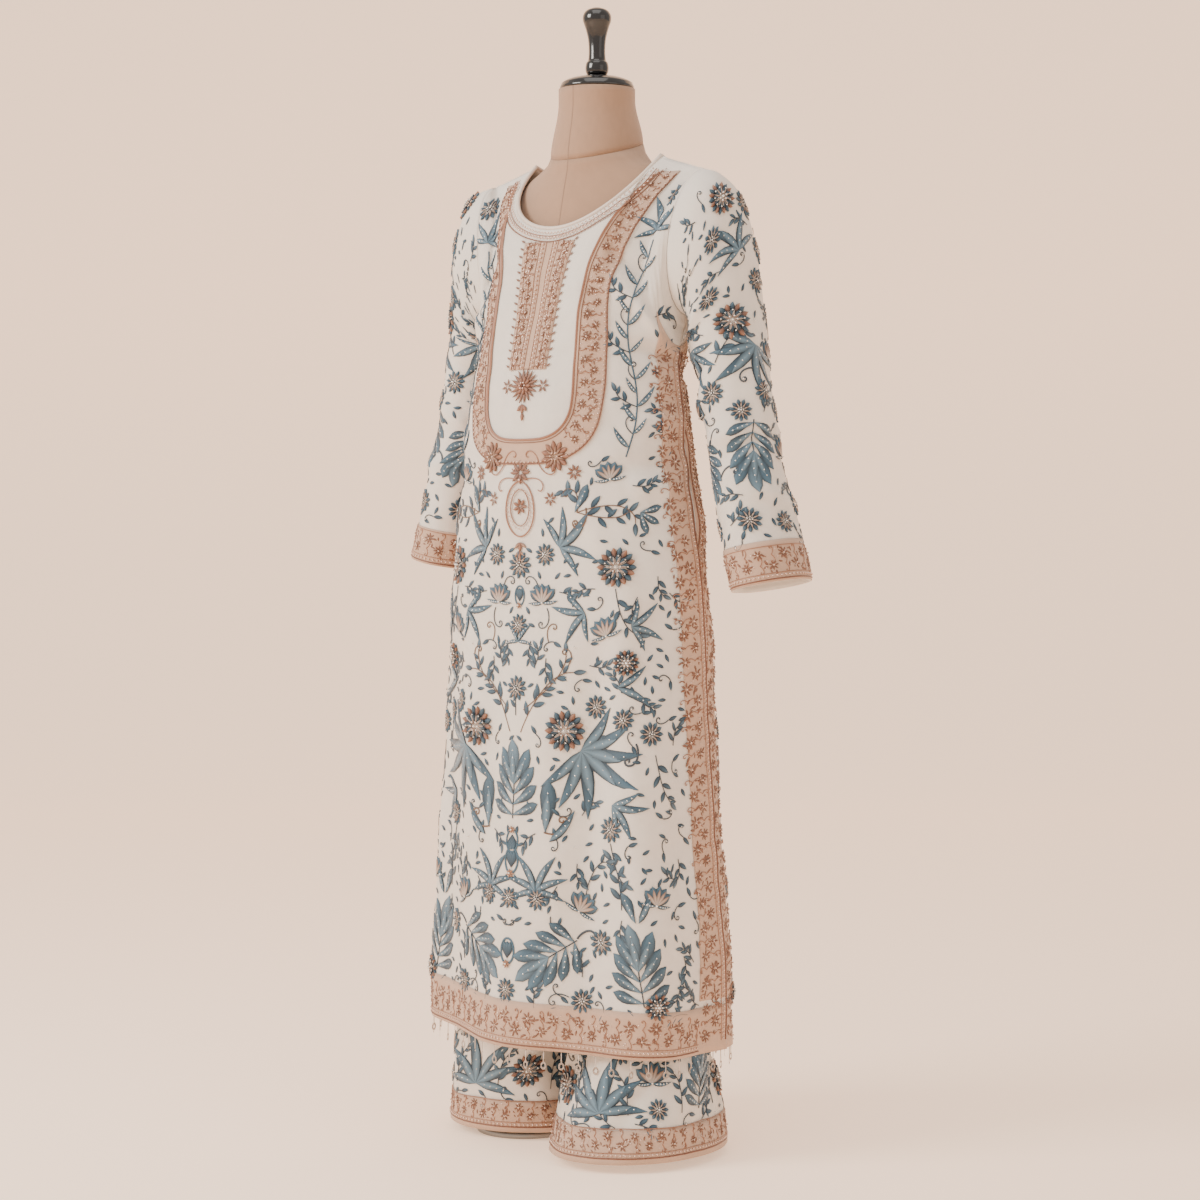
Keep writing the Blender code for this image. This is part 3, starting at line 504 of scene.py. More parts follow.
def crease_field(across, up, creases):
    """How far the creases move each point of the cloth, out or in."""
    total = np.zeros_like(across)
    for crease in creases:
        start = np.array([crease.across_from, crease.up_from])
        run = np.array([crease.across_to, crease.up_to]) - start
        length = np.linalg.norm(run)
        along = ((across - start[0]) * run[0] + (up - start[1]) * run[1]) / length
        off = ((across - start[0]) * run[1] - (up - start[1]) * run[0]) / length
        part = np.clip(along / length, 0, 1)
        wander = 0.35 * crease.width * np.sin(5.0 * part + 40.0 * crease.across_from)
        total += (crease.depth * np.sin(math.pi * part) ** 0.8
                  * np.exp(-((off - wander) / crease.width) ** 2))
    return total


def slow_wave(across, up, size, depth, seed):
    """An uneven, low swell over the whole cloth."""
    flat_across = across.ravel() / size
    flat_up = up.ravel() / size
    values = [noise.noise(Vector((a, b, seed))) for a, b in zip(flat_across, flat_up)]
    return np.array(values).reshape(across.shape) * depth


def crumple(points, closed, across, up, creases, swell, seed):
    """The grid moved along its normals by its creases and its slow wave."""
    normals = grid_normals(points, closed)
    move = CREASE_DEPTH * crease_field(across, up, creases)
    move += slow_wave(across, up, WAVE_SIZE, swell, seed)
    move += slow_wave(across, up, RIPPLE_SIZE, swell * RIPPLE_SHARE, seed + 5.0)
    fade = np.ones(len(points))
    fade[-CALM_ROWS:] = np.linspace(1, 0, CALM_ROWS)
    return points + normals * (move * fade[:, None])[..., None]


# %% [markdown]
# Embroidery lies on the cloth, so it needs a chart: for a place given in metres across and up the
# piece, the chart answers with the point in space and the cloth's normal there. The chart of a
# panel has level rows, and the chart of a sleeve or a leg has rings.

# %% Charts
CHART_STEP = 0.004
LEVEL_ABOVE = 0.60         # a panel's chart follows the tilt of its hem below this height
Chart = namedtuple("Chart", "points normals first_across first_up rows columns ends")


def chart_from_rows(rows, first_up, reach):
    """A chart from level rows: each is a list of points with their place across."""
    places = np.arange(-reach, reach + CHART_STEP / 2, CHART_STEP)
    lattice = np.array([[np.interp(places, across, line[:, axis]) for axis in range(3)]
                        for across, line in rows])
    lattice = np.moveaxis(lattice, 1, 2)
    normals = grid_normals(lattice, False)
    ends = np.array([(max(across[0], -reach), min(across[-1], reach)) for across, _ in rows])
    return Chart(lattice, normals, -reach, first_up, len(rows), len(places), ends)


def chart_end(chart, up):
    """How far across the cloth reaches at this height of its chart."""
    row = min(max(int((up - chart.first_up) / CHART_STEP), 0), chart.rows - 1)
    return chart.ends[row, 1]


def panel_chart(grid, low, high, reach):
    """The chart of a panel or a leg, across from its middle column and up from the floor."""
    middle = grid.shape[1] // 2
    fade = np.clip((LEVEL_ABOVE - grid[..., 2]) / (LEVEL_ABOVE - HEM_HEIGHT), 0, 1)
    heights = grid[..., 2] - (grid[0, :, 2] - grid[0, :, 2].mean()) * fade
    rows = []
    for level in np.arange(low, high, CHART_STEP):
        tall = heights[-1] >= level
        line = np.array([[np.interp(level, heights[:, column], grid[:, column, axis])
                          for axis in range(3)] for column in range(grid.shape[1])])
        halves = []
        for columns in (range(middle, -1, -1), range(middle, grid.shape[1])):
            kept = [column for column in columns if tall[column]]
            points = line[kept]
            start = 0.0 if kept[0] == middle else abs(points[0, 0])
            halves.append((start + lengths(points), points))
        across = np.concatenate([-halves[0][0][::-1], halves[1][0]])
        points = np.concatenate([halves[0][1][::-1], halves[1][1]])
        keep = np.concatenate([[True], np.diff(across) > 1e-7])
        rows.append((across[keep], points[keep]))
    return chart_from_rows(rows, low, reach)


def ring_chart(grid, zero_column, reach):
    """The chart of a tube, across round it and up along it from its lower edge."""
    turned = np.roll(grid, grid.shape[1] // 2 - zero_column, axis=1)
    turned = np.concatenate([turned, turned[:, :1]], axis=1)
    middle = grid.shape[1] // 2
    travelled = lengths(turned[:, middle])
    rows = []
    for level in np.arange(0, travelled[-1], CHART_STEP):
        at = np.interp(level, travelled, np.arange(len(travelled)))
        low = min(int(at), len(turned) - 2)
        part = at - low
        line = turned[low] * (1 - part) + turned[low + 1] * part
        across = lengths(line)
        rows.append((across - across[middle], line))
    return chart_from_rows(rows, 0.0, reach)


def on_chart(chart, across, up, lift):
    """Points in space for places on the chart, lifted off the cloth."""
    column = np.clip((across - chart.first_across) / CHART_STEP, 0, chart.columns - 1.001)
    row = np.clip((up - chart.first_up) / CHART_STEP, 0, chart.rows - 1.001)
    left = column.astype(int)
    low = row.astype(int)
    right_part = (column - left)[:, None]
    high_part = (row - low)[:, None]

    def blend(values):
        lower = values[low, left] * (1 - right_part) + values[low, left + 1] * right_part
        upper = values[low + 1, left] * (1 - right_part) + values[low + 1, left + 1] * right_part
        return lower * (1 - high_part) + upper * high_part

    return blend(chart.points) + unit(blend(chart.normals)) * np.asarray(lift)[:, None]


# %% [markdown]
# A sheet of cloth starts as a flat grid of Blender's own, whose points then take their places. Its
# UV map is in metres on the cloth, so that the weave keeps its size wherever the cloth bends.

# %% Sheets


def cloth_sheet(name, points, closed, material, node, thickness=CLOTH):
    """A thin double-sided sheet on this grid of points, standing for a node."""
    rows, columns = points.shape[:2]
    if closed:
        points = np.concatenate([points, points[:, :1]], axis=1)
        columns += 1
    bm = bmesh.new()
    bmesh.ops.create_grid(bm, x_segments=columns - 1, y_segments=rows - 1, size=1.0)
    bm.verts.ensure_lookup_table()
    flat = points.reshape(-1, 3)
    places = [((vert.co.x + 1) / 2 * (columns - 1), (vert.co.y + 1) / 2 * (rows - 1))
              for vert in bm.verts]
    widths = lengths(points[rows // 3])
    heights = lengths(points[:, columns // 2])
    spots = []
    for vert, (column, row) in zip(bm.verts, places):
        column = int(round(column))
        row = int(round(row))
        vert.co = flat[row * columns + column]
        spots.append((widths[column], heights[row]))
    layer = bm.loops.layers.uv.new("cloth")
    for face in bm.faces:
        for loop in face.loops:
            loop[layer].uv = spots[loop.vert.index]
    if closed:
        bmesh.ops.remove_doubles(bm, verts=bm.verts, dist=0.00002)
    mesh = bpy.data.meshes.new(name)
    bm.to_mesh(mesh)
    bm.free()
    mesh.shade_smooth()
    mesh.materials.append(material)
    item = piece(name, mesh, node)
    thick = item.modifiers.new("thickness", "SOLIDIFY")
    thick.thickness = thickness
    thick.offset = -1
    thick.use_even_offset = False

# %% [markdown]
# A sleeve is sewn to the armhole and then falls as a tube. The head of the sleeve starts on the
# panels' own edge. Each leg is one tube below the crotch and half of the hips above it.

# %% Sleeves and legs
SLEEVE_SIDES = 32
HEAD_ROWS = 12             # rows of the sleeve's head, then of its tube
TUBE_ROWS = 22
LEG_SIDES = 60
LEG_ROWS = 36              # rows below the crotch, then above it
HIP_ROWS = 12
CALM_COLUMNS = 12          # columns beside the inseam over which the creases fade
CALM_FROM = 0.80           # height from which they fade towards the waist
CALM_SPAN = 0.06


def sleeve_ring(table, z):
    """One ring of a left sleeve, its points from the outer side to the back."""
    x, y, half_x, half_y = [curve_value(table, z, name) for name in ("x", "y", "half_x", "half_y")]
    outward = np.array([math.cos(SLEEVE_LEAN), 0.0, math.sin(SLEEVE_LEAN)])
    backward = np.array([0.0, 1.0, 0.0])
    angles = 2 * math.pi * np.arange(SLEEVE_SIDES) / SLEEVE_SIDES
    return (np.array([x, y, z]) + np.outer(np.cos(angles) * half_x, outward)
            + np.outer(np.sin(angles) * half_y, backward))


def armhole_loop():
    """Points and directions round the left armhole: shoulder, back, underarm, front."""
    steps = SLEEVE_SIDES // 2
    shares = 1.0 - ARMHOLE_STEPS / HALF_STEPS * (1.0 - np.arange(steps + 1) / steps)
    behind = [top_edge(share, True) for share in shares]
    before = [top_edge(share, False) for share in shares][::-1]
    points = np.array(behind + before[1:-1])
    middle = (np.array(SHOULDER_POINT) + np.array(UNDERARM)) / 2
    along = unit(np.roll(points, -1, axis=0) - np.roll(points, 1, axis=0))
    outward = points - middle
    outward = unit(outward - along * np.sum(outward * along, axis=1, keepdims=True))
    away = unit(np.cross(outward, along))
    return points, away * np.sign(away[:, :1])


def sleeve_grid(table, left):
    """A sleeve's outer points, its rows climbing from the cuff to the armhole."""
    loop, away = armhole_loop()
    start = loop + away * GAP
    first = sleeve_ring(table, table[0].z)
    fall = np.array([math.sin(SLEEVE_LEAN), 0.0, -math.cos(SLEEVE_LEAN)])
    length = np.linalg.norm(first - start, axis=1, keepdims=True)
    rows = [hermite(start, away * length, first, fall * length, row / HEAD_ROWS)
            for row in range(HEAD_ROWS)]
    rows += [sleeve_ring(table, z) for z in np.linspace(table[0].z, table[-1].z, TUBE_ROWS)]
    grid = np.array(rows)[::-1]
    if not left:
        grid = grid[:, ::-1].copy()
        grid[..., 0] *= -1.0
    return finer(finer(grid, 3, 1, closed=True), 3, 0)


def leg_point(table, angle, z):
    """A point of the left leg's outer side; the angle runs from the inseam round the front."""
    x, y, half_x, half_y = [curve_value(table, z, name) for name in ("x", "y", "half_x", "half_y")]
    turn = math.pi + angle
    leg = np.array([x + half_x * math.cos(turn), y + half_y * math.sin(turn), z])
    half_width = curve_value(HIPS, z, "half_width")
    depth = curve_value(HIPS, z, "front" if angle < math.pi else "back")
    hip = np.array([half_width * math.sin(angle / 2), -depth * math.cos(angle / 2), z])
    part = ease((z - CROTCH) / (HIP_LINE - CROTCH))
    return leg * (1 - part) + hip * part


def leg_grid(table, left):
    """One leg's outer points, its columns from the inseam round the front to the inseam."""
    heights = np.concatenate([np.linspace(table[0].z, CROTCH, LEG_ROWS),
                              np.linspace(CROTCH, TROUSER_TOP, HIP_ROWS)[1:]])
    grid = np.array([[leg_point(table, 2 * math.pi * step / LEG_SIDES, z)
                      for step in range(LEG_SIDES + 1)] for z in heights])
    grid[..., 0] = np.maximum(grid[..., 0], GAP / 2)
    grid[heights <= CROTCH, 0, 1] -= GAP / 2
    grid[heights <= CROTCH, -1, 1] += GAP / 2
    if not left:
        grid = grid[:, ::-1].copy()
        grid[..., 0] *= -1.0
    return finer(finer(grid, 2, 1), 2, 0)


LEFT_SLEEVE_CREASES = (
    Crease(-0.160, 0.300, -0.080, 0.385, 0.011, 0.0040),
    Crease(-0.150, 0.270, -0.060, 0.330, 0.010, -0.0035),
    Crease(-0.165, 0.230, -0.070, 0.275, 0.011, 0.0035),
    Crease(-0.120, 0.210, -0.030, 0.190, 0.012, 0.0030),
    Crease(-0.100, 0.170, 0.010, 0.200, 0.011, -0.0030),
    Crease(-0.060, 0.120, 0.050, 0.100, 0.012, 0.0028),
    Crease(0.150, 0.290, 0.060, 0.370, 0.012, 0.0040),
    Crease(0.160, 0.240, 0.070, 0.280, 0.011, -0.0035),
    Crease(0.140, 0.180, 0.030, 0.210, 0.012, 0.0032),
    Crease(0.100, 0.060, 0.110, 0.260, 0.014, 0.0030),
    Crease(-0.020, 0.050, -0.030, 0.420, 0.016, 0.0028),
    Crease(0.040, 0.080, 0.045, 0.300, 0.014, -0.0025),
)
RIGHT_SLEEVE_CREASES = (
    Crease(0.150, 0.300, 0.070, 0.380, 0.012, 0.0042),
    Crease(0.160, 0.250, 0.060, 0.300, 0.011, -0.0036),
    Crease(0.130, 0.190, 0.040, 0.230, 0.012, 0.0034),
    Crease(0.100, 0.150, -0.010, 0.130, 0.012, 0.0028),
    Crease(-0.150, 0.280, -0.070, 0.360, 0.012, 0.0040),
    Crease(-0.150, 0.200, -0.050, 0.240, 0.012, -0.0034),
    Crease(-0.110, 0.090, -0.020, 0.150, 0.013, 0.0030),
    Crease(0.010, 0.060, 0.020, 0.400, 0.016, 0.0028),
)
LEFT_LEG_CREASES = (
    Crease(0.060, 0.620, 0.075, 0.010, 0.016, 0.0060),
    Crease(0.115, 0.520, 0.120, 0.010, 0.014, -0.0050),
    Crease(0.165, 0.640, 0.160, 0.010, 0.018, 0.0055),
    Crease(0.225, 0.420, 0.235, 0.010, 0.015, -0.0050),
    Crease(0.290, 0.660, 0.300, 0.010, 0.018, 0.0055),
    Crease(0.365, 0.500, 0.360, 0.010, 0.016, -0.0050),
    Crease(0.430, 0.640, 0.440, 0.010, 0.018, 0.0060),
    Crease(0.510, 0.450, 0.500, 0.010, 0.015, -0.0045),
    Crease(0.040, 0.180, 0.170, 0.230, 0.012, 0.0025),
)
RIGHT_LEG_CREASES = (
    Crease(0.080, 0.600, 0.070, 0.010, 0.017, 0.0055),
    Crease(0.150, 0.500, 0.155, 0.010, 0.015, -0.0048),
    Crease(0.215, 0.640, 0.210, 0.010, 0.018, 0.0058),
    Crease(0.300, 0.430, 0.310, 0.010, 0.015, -0.0050),
    Crease(0.370, 0.620, 0.380, 0.010, 0.018, 0.0055),
    Crease(0.460, 0.520, 0.450, 0.010, 0.016, -0.0048),
    Crease(0.530, 0.400, 0.540, 0.010, 0.014, 0.0045),
)


def panel_cloth(back):
    """A panel's points with its creases."""
    grid = panel_grid(back)
    across = lengths(grid, 1)
    across = across - across[:, [grid.shape[1] // 2]]
    if back:
        creases, seed = BACK_CREASES, 7.0
    else:
        creases, seed = FRONT_CREASES, 2.0
    return crumple(grid, False, across, grid[..., 2], creases, SWELL, seed)


def sleeve_cloth(table, left):
    """A sleeve's points with its creases; across is nought on the outer side."""
    grid = sleeve_grid(table, left)
    half = SLEEVE_SIDES * 3 // 2
    outer = 0 if left else grid.shape[1] - 3
    turned = np.roll(grid, half - outer, axis=1)
    across = lengths(turned, 1)
    across = np.roll(across - across[:, [half]], outer - half, axis=1)
    up = lengths(grid, 0)
    creases = LEFT_SLEEVE_CREASES if left else RIGHT_SLEEVE_CREASES
    return crumple(grid, True, across, up, creases, SWELL, 11.0 if left else 13.0)


def leg_cloth(table, left):
    """A leg's points with its creases; across runs from the inseam round the front."""
    grid = leg_grid(table, left)
    across = lengths(grid, 1)
    if not left:
        across = across[:, [-1]] - across
    creases = LEFT_LEG_CREASES if left else RIGHT_LEG_CREASES
    made = crumple(grid, False, across, grid[..., 2], creases, LEG_SWELL, 17.0 if left else 19.0)
    edge = np.minimum(np.arange(grid.shape[1]), np.arange(grid.shape[1])[::-1])
    keep = np.clip(edge / CALM_COLUMNS, 0, 1)[None, :, None]
    high = np.clip((grid[..., 2] - CALM_FROM) / CALM_SPAN, 0, 1)[..., None]
    return grid + (made - grid) * keep * (1 - high)

# %% [markdown]
# The cloths are a thin ivory crepe for the kameez and a smoother one for the trousers. Both carry a
# fine weave and a faint slubbed colour, measured on the cloth itself.

# %% Cloth materials
IVORY = (0.82, 0.755, 0.68)
TROUSER_IVORY = (0.80, 0.725, 0.64)
TAN = (0.58, 0.39, 0.28)


def weave_group():
    """Weave height and a slubbed shade from a UV map in metres."""
    group = bpy.data.node_groups.new("weave", "ShaderNodeTree")
    group.interface.new_socket("Colour", in_out="INPUT", socket_type="NodeSocketColor")
    group.interface.new_socket("Threads", in_out="INPUT", socket_type="NodeSocketFloat")
    group.interface.new_socket("Colour", in_out="OUTPUT", socket_type="NodeSocketColor")
    group.interface.new_socket("Height", in_out="OUTPUT", socket_type="NodeSocketFloat")
    nodes = group.nodes
    link = group.links.new
    entry = nodes.new("NodeGroupInput")
    leave = nodes.new("NodeGroupOutput")
    uv = nodes.new("ShaderNodeUVMap")
    uv.uv_map = "cloth"
    split = nodes.new("ShaderNodeSeparateXYZ")
    link(uv.outputs["UV"], split.inputs[0])

    def maths(operation, *sources):
        node = nodes.new("ShaderNodeMath")
        node.operation = operation
        for source, socket in zip(sources, node.inputs):
            link(source, socket)
        return node.outputs[0]

    waves = [maths("SINE", maths("MULTIPLY", split.outputs[axis], entry.outputs["Threads"]))
             for axis in ("X", "Y")]
    link(maths("MULTIPLY", *waves), leave.inputs["Height"])
    slub = nodes.new("ShaderNodeTexNoise")
    set_inputs(slub, {"Scale": 60.0, "Detail": 3.0})
    link(uv.outputs["UV"], slub.inputs["Vector"])
    shade = nodes.new("ShaderNodeMapRange")
    set_inputs(shade, {"To Min": 0.90, "To Max": 1.06})
    link(slub.outputs["Fac"], shade.inputs["Value"])
    tint = nodes.new("ShaderNodeVectorMath")
    tint.operation = "SCALE"
    link(entry.outputs["Colour"], tint.inputs[0])
    link(shade.outputs["Result"], tint.inputs["Scale"])
    link(tint.outputs["Vector"], leave.inputs["Colour"])
    return group


WEAVE = weave_group()


def woven_material(name, threads, strength, relief, inputs):
    """A material whose colour and bump pass through the weave, and its weave node."""
    material = bpy.data.materials.new(name)
    material.use_nodes = True
    nodes = material.node_tree.nodes
    link = material.node_tree.links.new
    shader = nodes["Principled BSDF"]
    weave = nodes.new("ShaderNodeGroup")
    weave.node_tree = WEAVE
    bump = nodes.new("ShaderNodeBump")
    set_inputs(weave, {"Threads": threads})
    set_inputs(bump, {"Strength": strength, "Distance": relief})
    set_inputs(shader, inputs)
    link(weave.outputs["Colour"], shader.inputs["Base Color"])
    link(weave.outputs["Height"], bump.inputs["Height"])
    link(bump.outputs["Normal"], shader.inputs["Normal"])
    return material, weave


def cloth_material(name, colour, roughness, threads, relief):
    """Woven cloth: a soft sheen over a fine weave."""
    material, weave = woven_material(name, threads, 0.35, relief, {
        "Roughness": roughness, "Sheen Weight": 0.25, "Sheen Roughness": 0.5})
    set_inputs(weave, {"Colour": (*colour, 1)})
    return material


KAMEEZ_CLOTH = cloth_material("kameez crepe", IVORY, 0.72, 5200.0, 0.00012)
TROUSER_CLOTH = cloth_material("trouser crepe", TROUSER_IVORY, 0.68, 6400.0, 0.00010)
NET_CLOTH = cloth_material("tan net", TAN, 0.78, 3600.0, 0.00018)

# %% The garment's cloth
front = panel_cloth(False)
back = panel_cloth(True)
left_sleeve = sleeve_cloth(SLEEVE_LEFT, True)
right_sleeve = sleeve_cloth(SLEEVE_RIGHT, False)
left_leg = leg_cloth(LEG_LEFT, True)
right_leg = leg_cloth(LEG_RIGHT, False)
for name, grid, closed, node in (("front_cloth", front, False, "front_panel"),
                                 ("back_cloth", back, False, "back_panel"),
                                 ("left_sleeve_cloth", left_sleeve, True, "sleeve_left"),
                                 ("right_sleeve_cloth", right_sleeve, True, "sleeve_right")):
    cloth_sheet(name, grid, closed, KAMEEZ_CLOTH, node)
cloth_sheet("left_leg_cloth", left_leg, False, TROUSER_CLOTH, "trouser_left")
cloth_sheet("right_leg_cloth", right_leg, False, TROUSER_CLOTH, "trouser_right")

# %% [markdown]
# The embroidery is raised: satin-stitched petals and leaves over padding, couched cords for stems
# and scrolls, and small beads. Every shape starts as one of Blender's own meshes, is kept as a
# template, and is then repeated over the cloth. All the shapes on a piece are joined.

# %% Stitched templates
Shape = namedtuple("Shape", "verts faces along edge")


def template(bm, along, edge):
    """Arrays of a small mesh, with two values for each vertex: how far along it lies, which blends
    its colour, and how near its edge, which sets its painted shade.
    """
    verts = np.array([vert.co[:] for vert in bm.verts])
    faces = [tuple(vert.index for vert in face.verts) for face in bm.faces]
    bm.free()
    return Shape(verts, faces, np.array(along), np.array(edge))


def offset(at, turn, along, across=0.0):
    """The place this far from another along `turn` degrees, and then across to its left."""
    angle = math.radians(turn)
    return (at[0] + along * math.cos(angle) - across * math.sin(angle),
            at[1] + along * math.sin(angle) + across * math.cos(angle))


def petal_shape(width, sharp, bend, rows=6, columns=4):
    """A padded petal one unit long; `sharp` above 1 makes it widest towards its tip."""
    bm = bmesh.new()
    bmesh.ops.create_grid(bm, x_segments=rows, y_segments=columns, size=1.0)
    bm.verts.index_update()
    along = []
    edge = []
    for vert in bm.verts:
        part = (vert.co.x + 1) / 2
        side = vert.co.y
        half = width * math.sin(math.pi * min(part, 0.999) ** sharp) ** 0.75 + 0.004
        vert.co = (part, half * side + bend * part * part, (1 - side * side) * (0.3 + 0.7 * part))
        along.append(part)
        edge.append(abs(side))
    return template(bm, along, edge)


def round_shape(make, **sizes):
    """A bead or a stud of radius one, made by one of Blender's own operators."""
    bm = bmesh.new()
    make(bm, **sizes)
    bm.verts.index_update()
    count = len(bm.verts)
    return template(bm, [0.5] * count, [0.0] * count)


ROUND_PETAL = petal_shape(0.24, 1.35, 0.0)
SLIM_PETAL = petal_shape(0.11, 1.0, 0.0, 4, 2)
LOBE = petal_shape(0.17, 1.6, 0.10)
BLADE = petal_shape(0.105, 0.80, 0.24)
SMALL_LEAF = petal_shape(0.20, 0.9, 0.08, 5, 2)
BEAD = round_shape(bmesh.ops.create_icosphere, subdivisions=1, radius=1.0)
STUD = round_shape(bmesh.ops.create_cone, segments=5, radius1=1.0, radius2=0.0, depth=1.0)

STITCH_LIFT = 0.0007       # clears the finest ripples of the cloth
SLATE = np.array((0.062, 0.128, 0.185))
DARK = np.array((0.014, 0.030, 0.050))
LIGHT = np.array((0.150, 0.250, 0.330))
COPPER = np.array((0.37, 0.165, 0.090))
ROSE = np.array((0.50, 0.285, 0.19))
STEM = np.array((0.045, 0.062, 0.080))
TAUPE = np.array((0.17, 0.095, 0.060))
PALE = np.array((0.62, 0.56, 0.50))
BEAD_COLOUR = (0.80, 0.76, 0.72)
PAINTED_EDGE_SHADE = 0.62          # painted shade: how much darker the stitching's colour is made along a shape's rounded edges


class Stitching:
    """Shapes gathered for one piece of cloth, in the metres of its chart."""

    def __init__(self, chart, lift):
        self.chart = chart
        self.lift = lift
        self.places = []
        self.heights = []
        self.colours = []
        self.faces = []
        self.beads = []
        self.count = 0
        self.side = 1.0
        self.taken = []

    def gather(self, places, heights, colours, faces, bead):
        """Add one shape's vertices and faces."""
        if self.side < 0:
            places = places * (-1.0, 1.0)
            faces = [face[::-1] for face in faces]
        first = self.count
        self.places.append(places)
        self.heights.append(heights)
        self.colours.append(colours)
        self.faces.extend(tuple(first + index for index in face) for face in faces)
        self.beads.extend([bead] * len(faces))
        self.count += len(places)

    def add(self, shape, at, turn, length, base, tip, relief=0.0012, raised=0.0, flip=False):
        """A petal or leaf that starts at a place and points along `turn` degrees."""
        across = shape.verts[:, 1] * length
        faces = shape.faces
        if flip:
            across = -across
            faces = [face[::-1] for face in faces]
        places = np.stack(offset(at, turn, shape.verts[:, 0] * length, across), axis=1)
        part = shape.along[:, None]
        # The colour is darkened towards the shape's edges: painted shade where the padded stitching
        # turns away from the light.
        colours = (base * (1 - part) + tip * part) * (1 - PAINTED_EDGE_SHADE * shape.edge[:, None] ** 3)
        self.gather(places, raised + shape.verts[:, 2] * relief, colours, faces, 0)

    def bead(self, at, radius=0.0013, raised=0.0, shape=BEAD):
        """One round bead or stud."""
        places = np.array(at) + shape.verts[:, :2] * radius
        colours = np.tile(BEAD_COLOUR, (len(places), 1))
        self.gather(places, raised + (shape.verts[:, 2] + 0.7) * radius, colours, shape.faces, 1)

    def cord(self, path, width, colour, relief=0.0009, raised=0.0):
        """A couched cord along a path."""
        path = np.asarray(path, float)
        run = unit(np.gradient(path, axis=0))
        left = np.stack([-run[:, 1], run[:, 0]], axis=1) * width / 2
        places = np.concatenate([path + left, path, path - left])
        count = len(path)
        heights = np.full(3 * count, raised)
        heights[count:2 * count] += relief
        faces = []
        for lane in (0, count):
            for step in range(count - 1):
                low = lane + step
                faces.append((low, low + count, low + count + 1, low + 1))
        self.gather(places, heights, np.tile(colour, (3 * count, 1)), faces, 0)

    def build(self, name, thread, beads):
        """Join everything into one object on the cloth."""
        places = np.concatenate(self.places)
        heights = np.concatenate(self.heights) + self.lift
        colours = np.concatenate(self.colours)
        mesh = bpy.data.meshes.new(name)
        mesh.from_pydata(on_chart(self.chart, places[:, 0], places[:, 1], heights), [], self.faces)
        layer = mesh.color_attributes.new("thread", "FLOAT_COLOR", "POINT")
        layer.data.foreach_set("color", np.hstack([colours, np.ones((len(colours), 1))]).ravel())
        uv = mesh.uv_layers.new(name="cloth")
        corners = np.empty(len(mesh.loops), dtype=np.int32)
        mesh.loops.foreach_get("vertex_index", corners)
        uv.data.foreach_set("uv", places[corners].ravel())
        mesh.materials.append(thread)
        mesh.materials.append(beads)
        mesh.polygons.foreach_set("material_index", self.beads)
        mesh.shade_smooth()
        piece(name, mesh, None)


def curl_path(at, turn, length, curl, steps=18):
    """A path that leaves a place along `turn` and curls up by `curl` degrees."""
    heading = math.radians(turn)
    point = np.array(at, float)
    path = [point]
    for step in range(steps):
        part = step / steps
        heading += math.radians(curl) * (0.25 + 2.25 * part * part) / steps
        point = point + length / steps * (1.35 - 0.7 * part) * np.array(
            [math.cos(heading), math.sin(heading)])
        path.append(point)
    return np.array(path)


# %% [markdown]
# The motifs are drawn here from their parts: dahlias, fans of blades, lobed palmettes, pods and
# buds, and sprigs that end in a scroll. Each takes a place, a size and a direction.

# %% Motifs


def ring_of(cloth, shape, at, count, inner, length, base, tip, relief, raised=0.0, start=0.0):
    """A ring of petals that all point away from one place."""
    for step in range(count):
        turn = start + 360.0 * step / count
        cloth.add(shape, offset(at, turn, inner), turn, length, base, tip, relief, raised)


def bead_ring(cloth, at, count, radius, size, raised, shape=BEAD):
    """A ring of beads or studs."""
    for step in range(count):
        cloth.bead(offset(at, 360.0 * step / count, radius), size, raised, shape)


def dahlia(cloth, at, size):
    """A round flower with slate petals, pale filaments and a beaded heart."""
    half = size / 2
    cloth.taken.append((*at, half))
    ring_of(cloth, ROUND_PETAL, at, 11, half * 0.30, half * 0.72, DARK, SLATE * 1.1, 0.0022)
    ring_of(cloth, SLIM_PETAL, at, 11, half * 0.18, half * 0.55, PALE, ROSE, 0.0012, 0.0016, 16)
    ring_of(cloth, SLIM_PETAL, at, 8, 0.0, half * 0.36, DARK, DARK, 0.0010, 0.0022, 8)
    bead_ring(cloth, at, 5, half * 0.20, 0.0011, 0.0022, STUD)
    cloth.bead(at, 0.0014, 0.0022)


def great_flower(cloth, at, size):
    """A large raised flower whose petals alternate between copper and slate."""
    half = size / 2
    cloth.taken.append((*at, half))
    ring_of(cloth, ROUND_PETAL, at, 9, half * 0.42, half * 0.58, DARK, SLATE, 0.0030)
    ring_of(cloth, ROUND_PETAL, at, 9, half * 0.42, half * 0.54, DARK, COPPER * 1.1, 0.0032,
            0.0008, 20)
    ring_of(cloth, ROUND_PETAL, at, 10, half * 0.20, half * 0.45, SLATE, DARK, 0.0026, 0.0022, 9)
    ring_of(cloth, SLIM_PETAL, at, 10, half * 0.10, half * 0.44, COPPER, PALE, 0.0018, 0.0036)
    bead_ring(cloth, at, 9, half * 0.56, 0.0012, 0.0034)
    bead_ring(cloth, at, 6, half * 0.22, 0.0014, 0.0046)
    cloth.bead(at, 0.0020, 0.0046)


def vein(cloth, at, turn, length, bend, raised):
    """A pale beaded vein along the middle of a leaf."""
    for part in (0.25, 0.42, 0.58, 0.74):
        cloth.bead(offset(at, turn, part * length, bend * part * part * length), 0.0010, raised,
                   STUD)


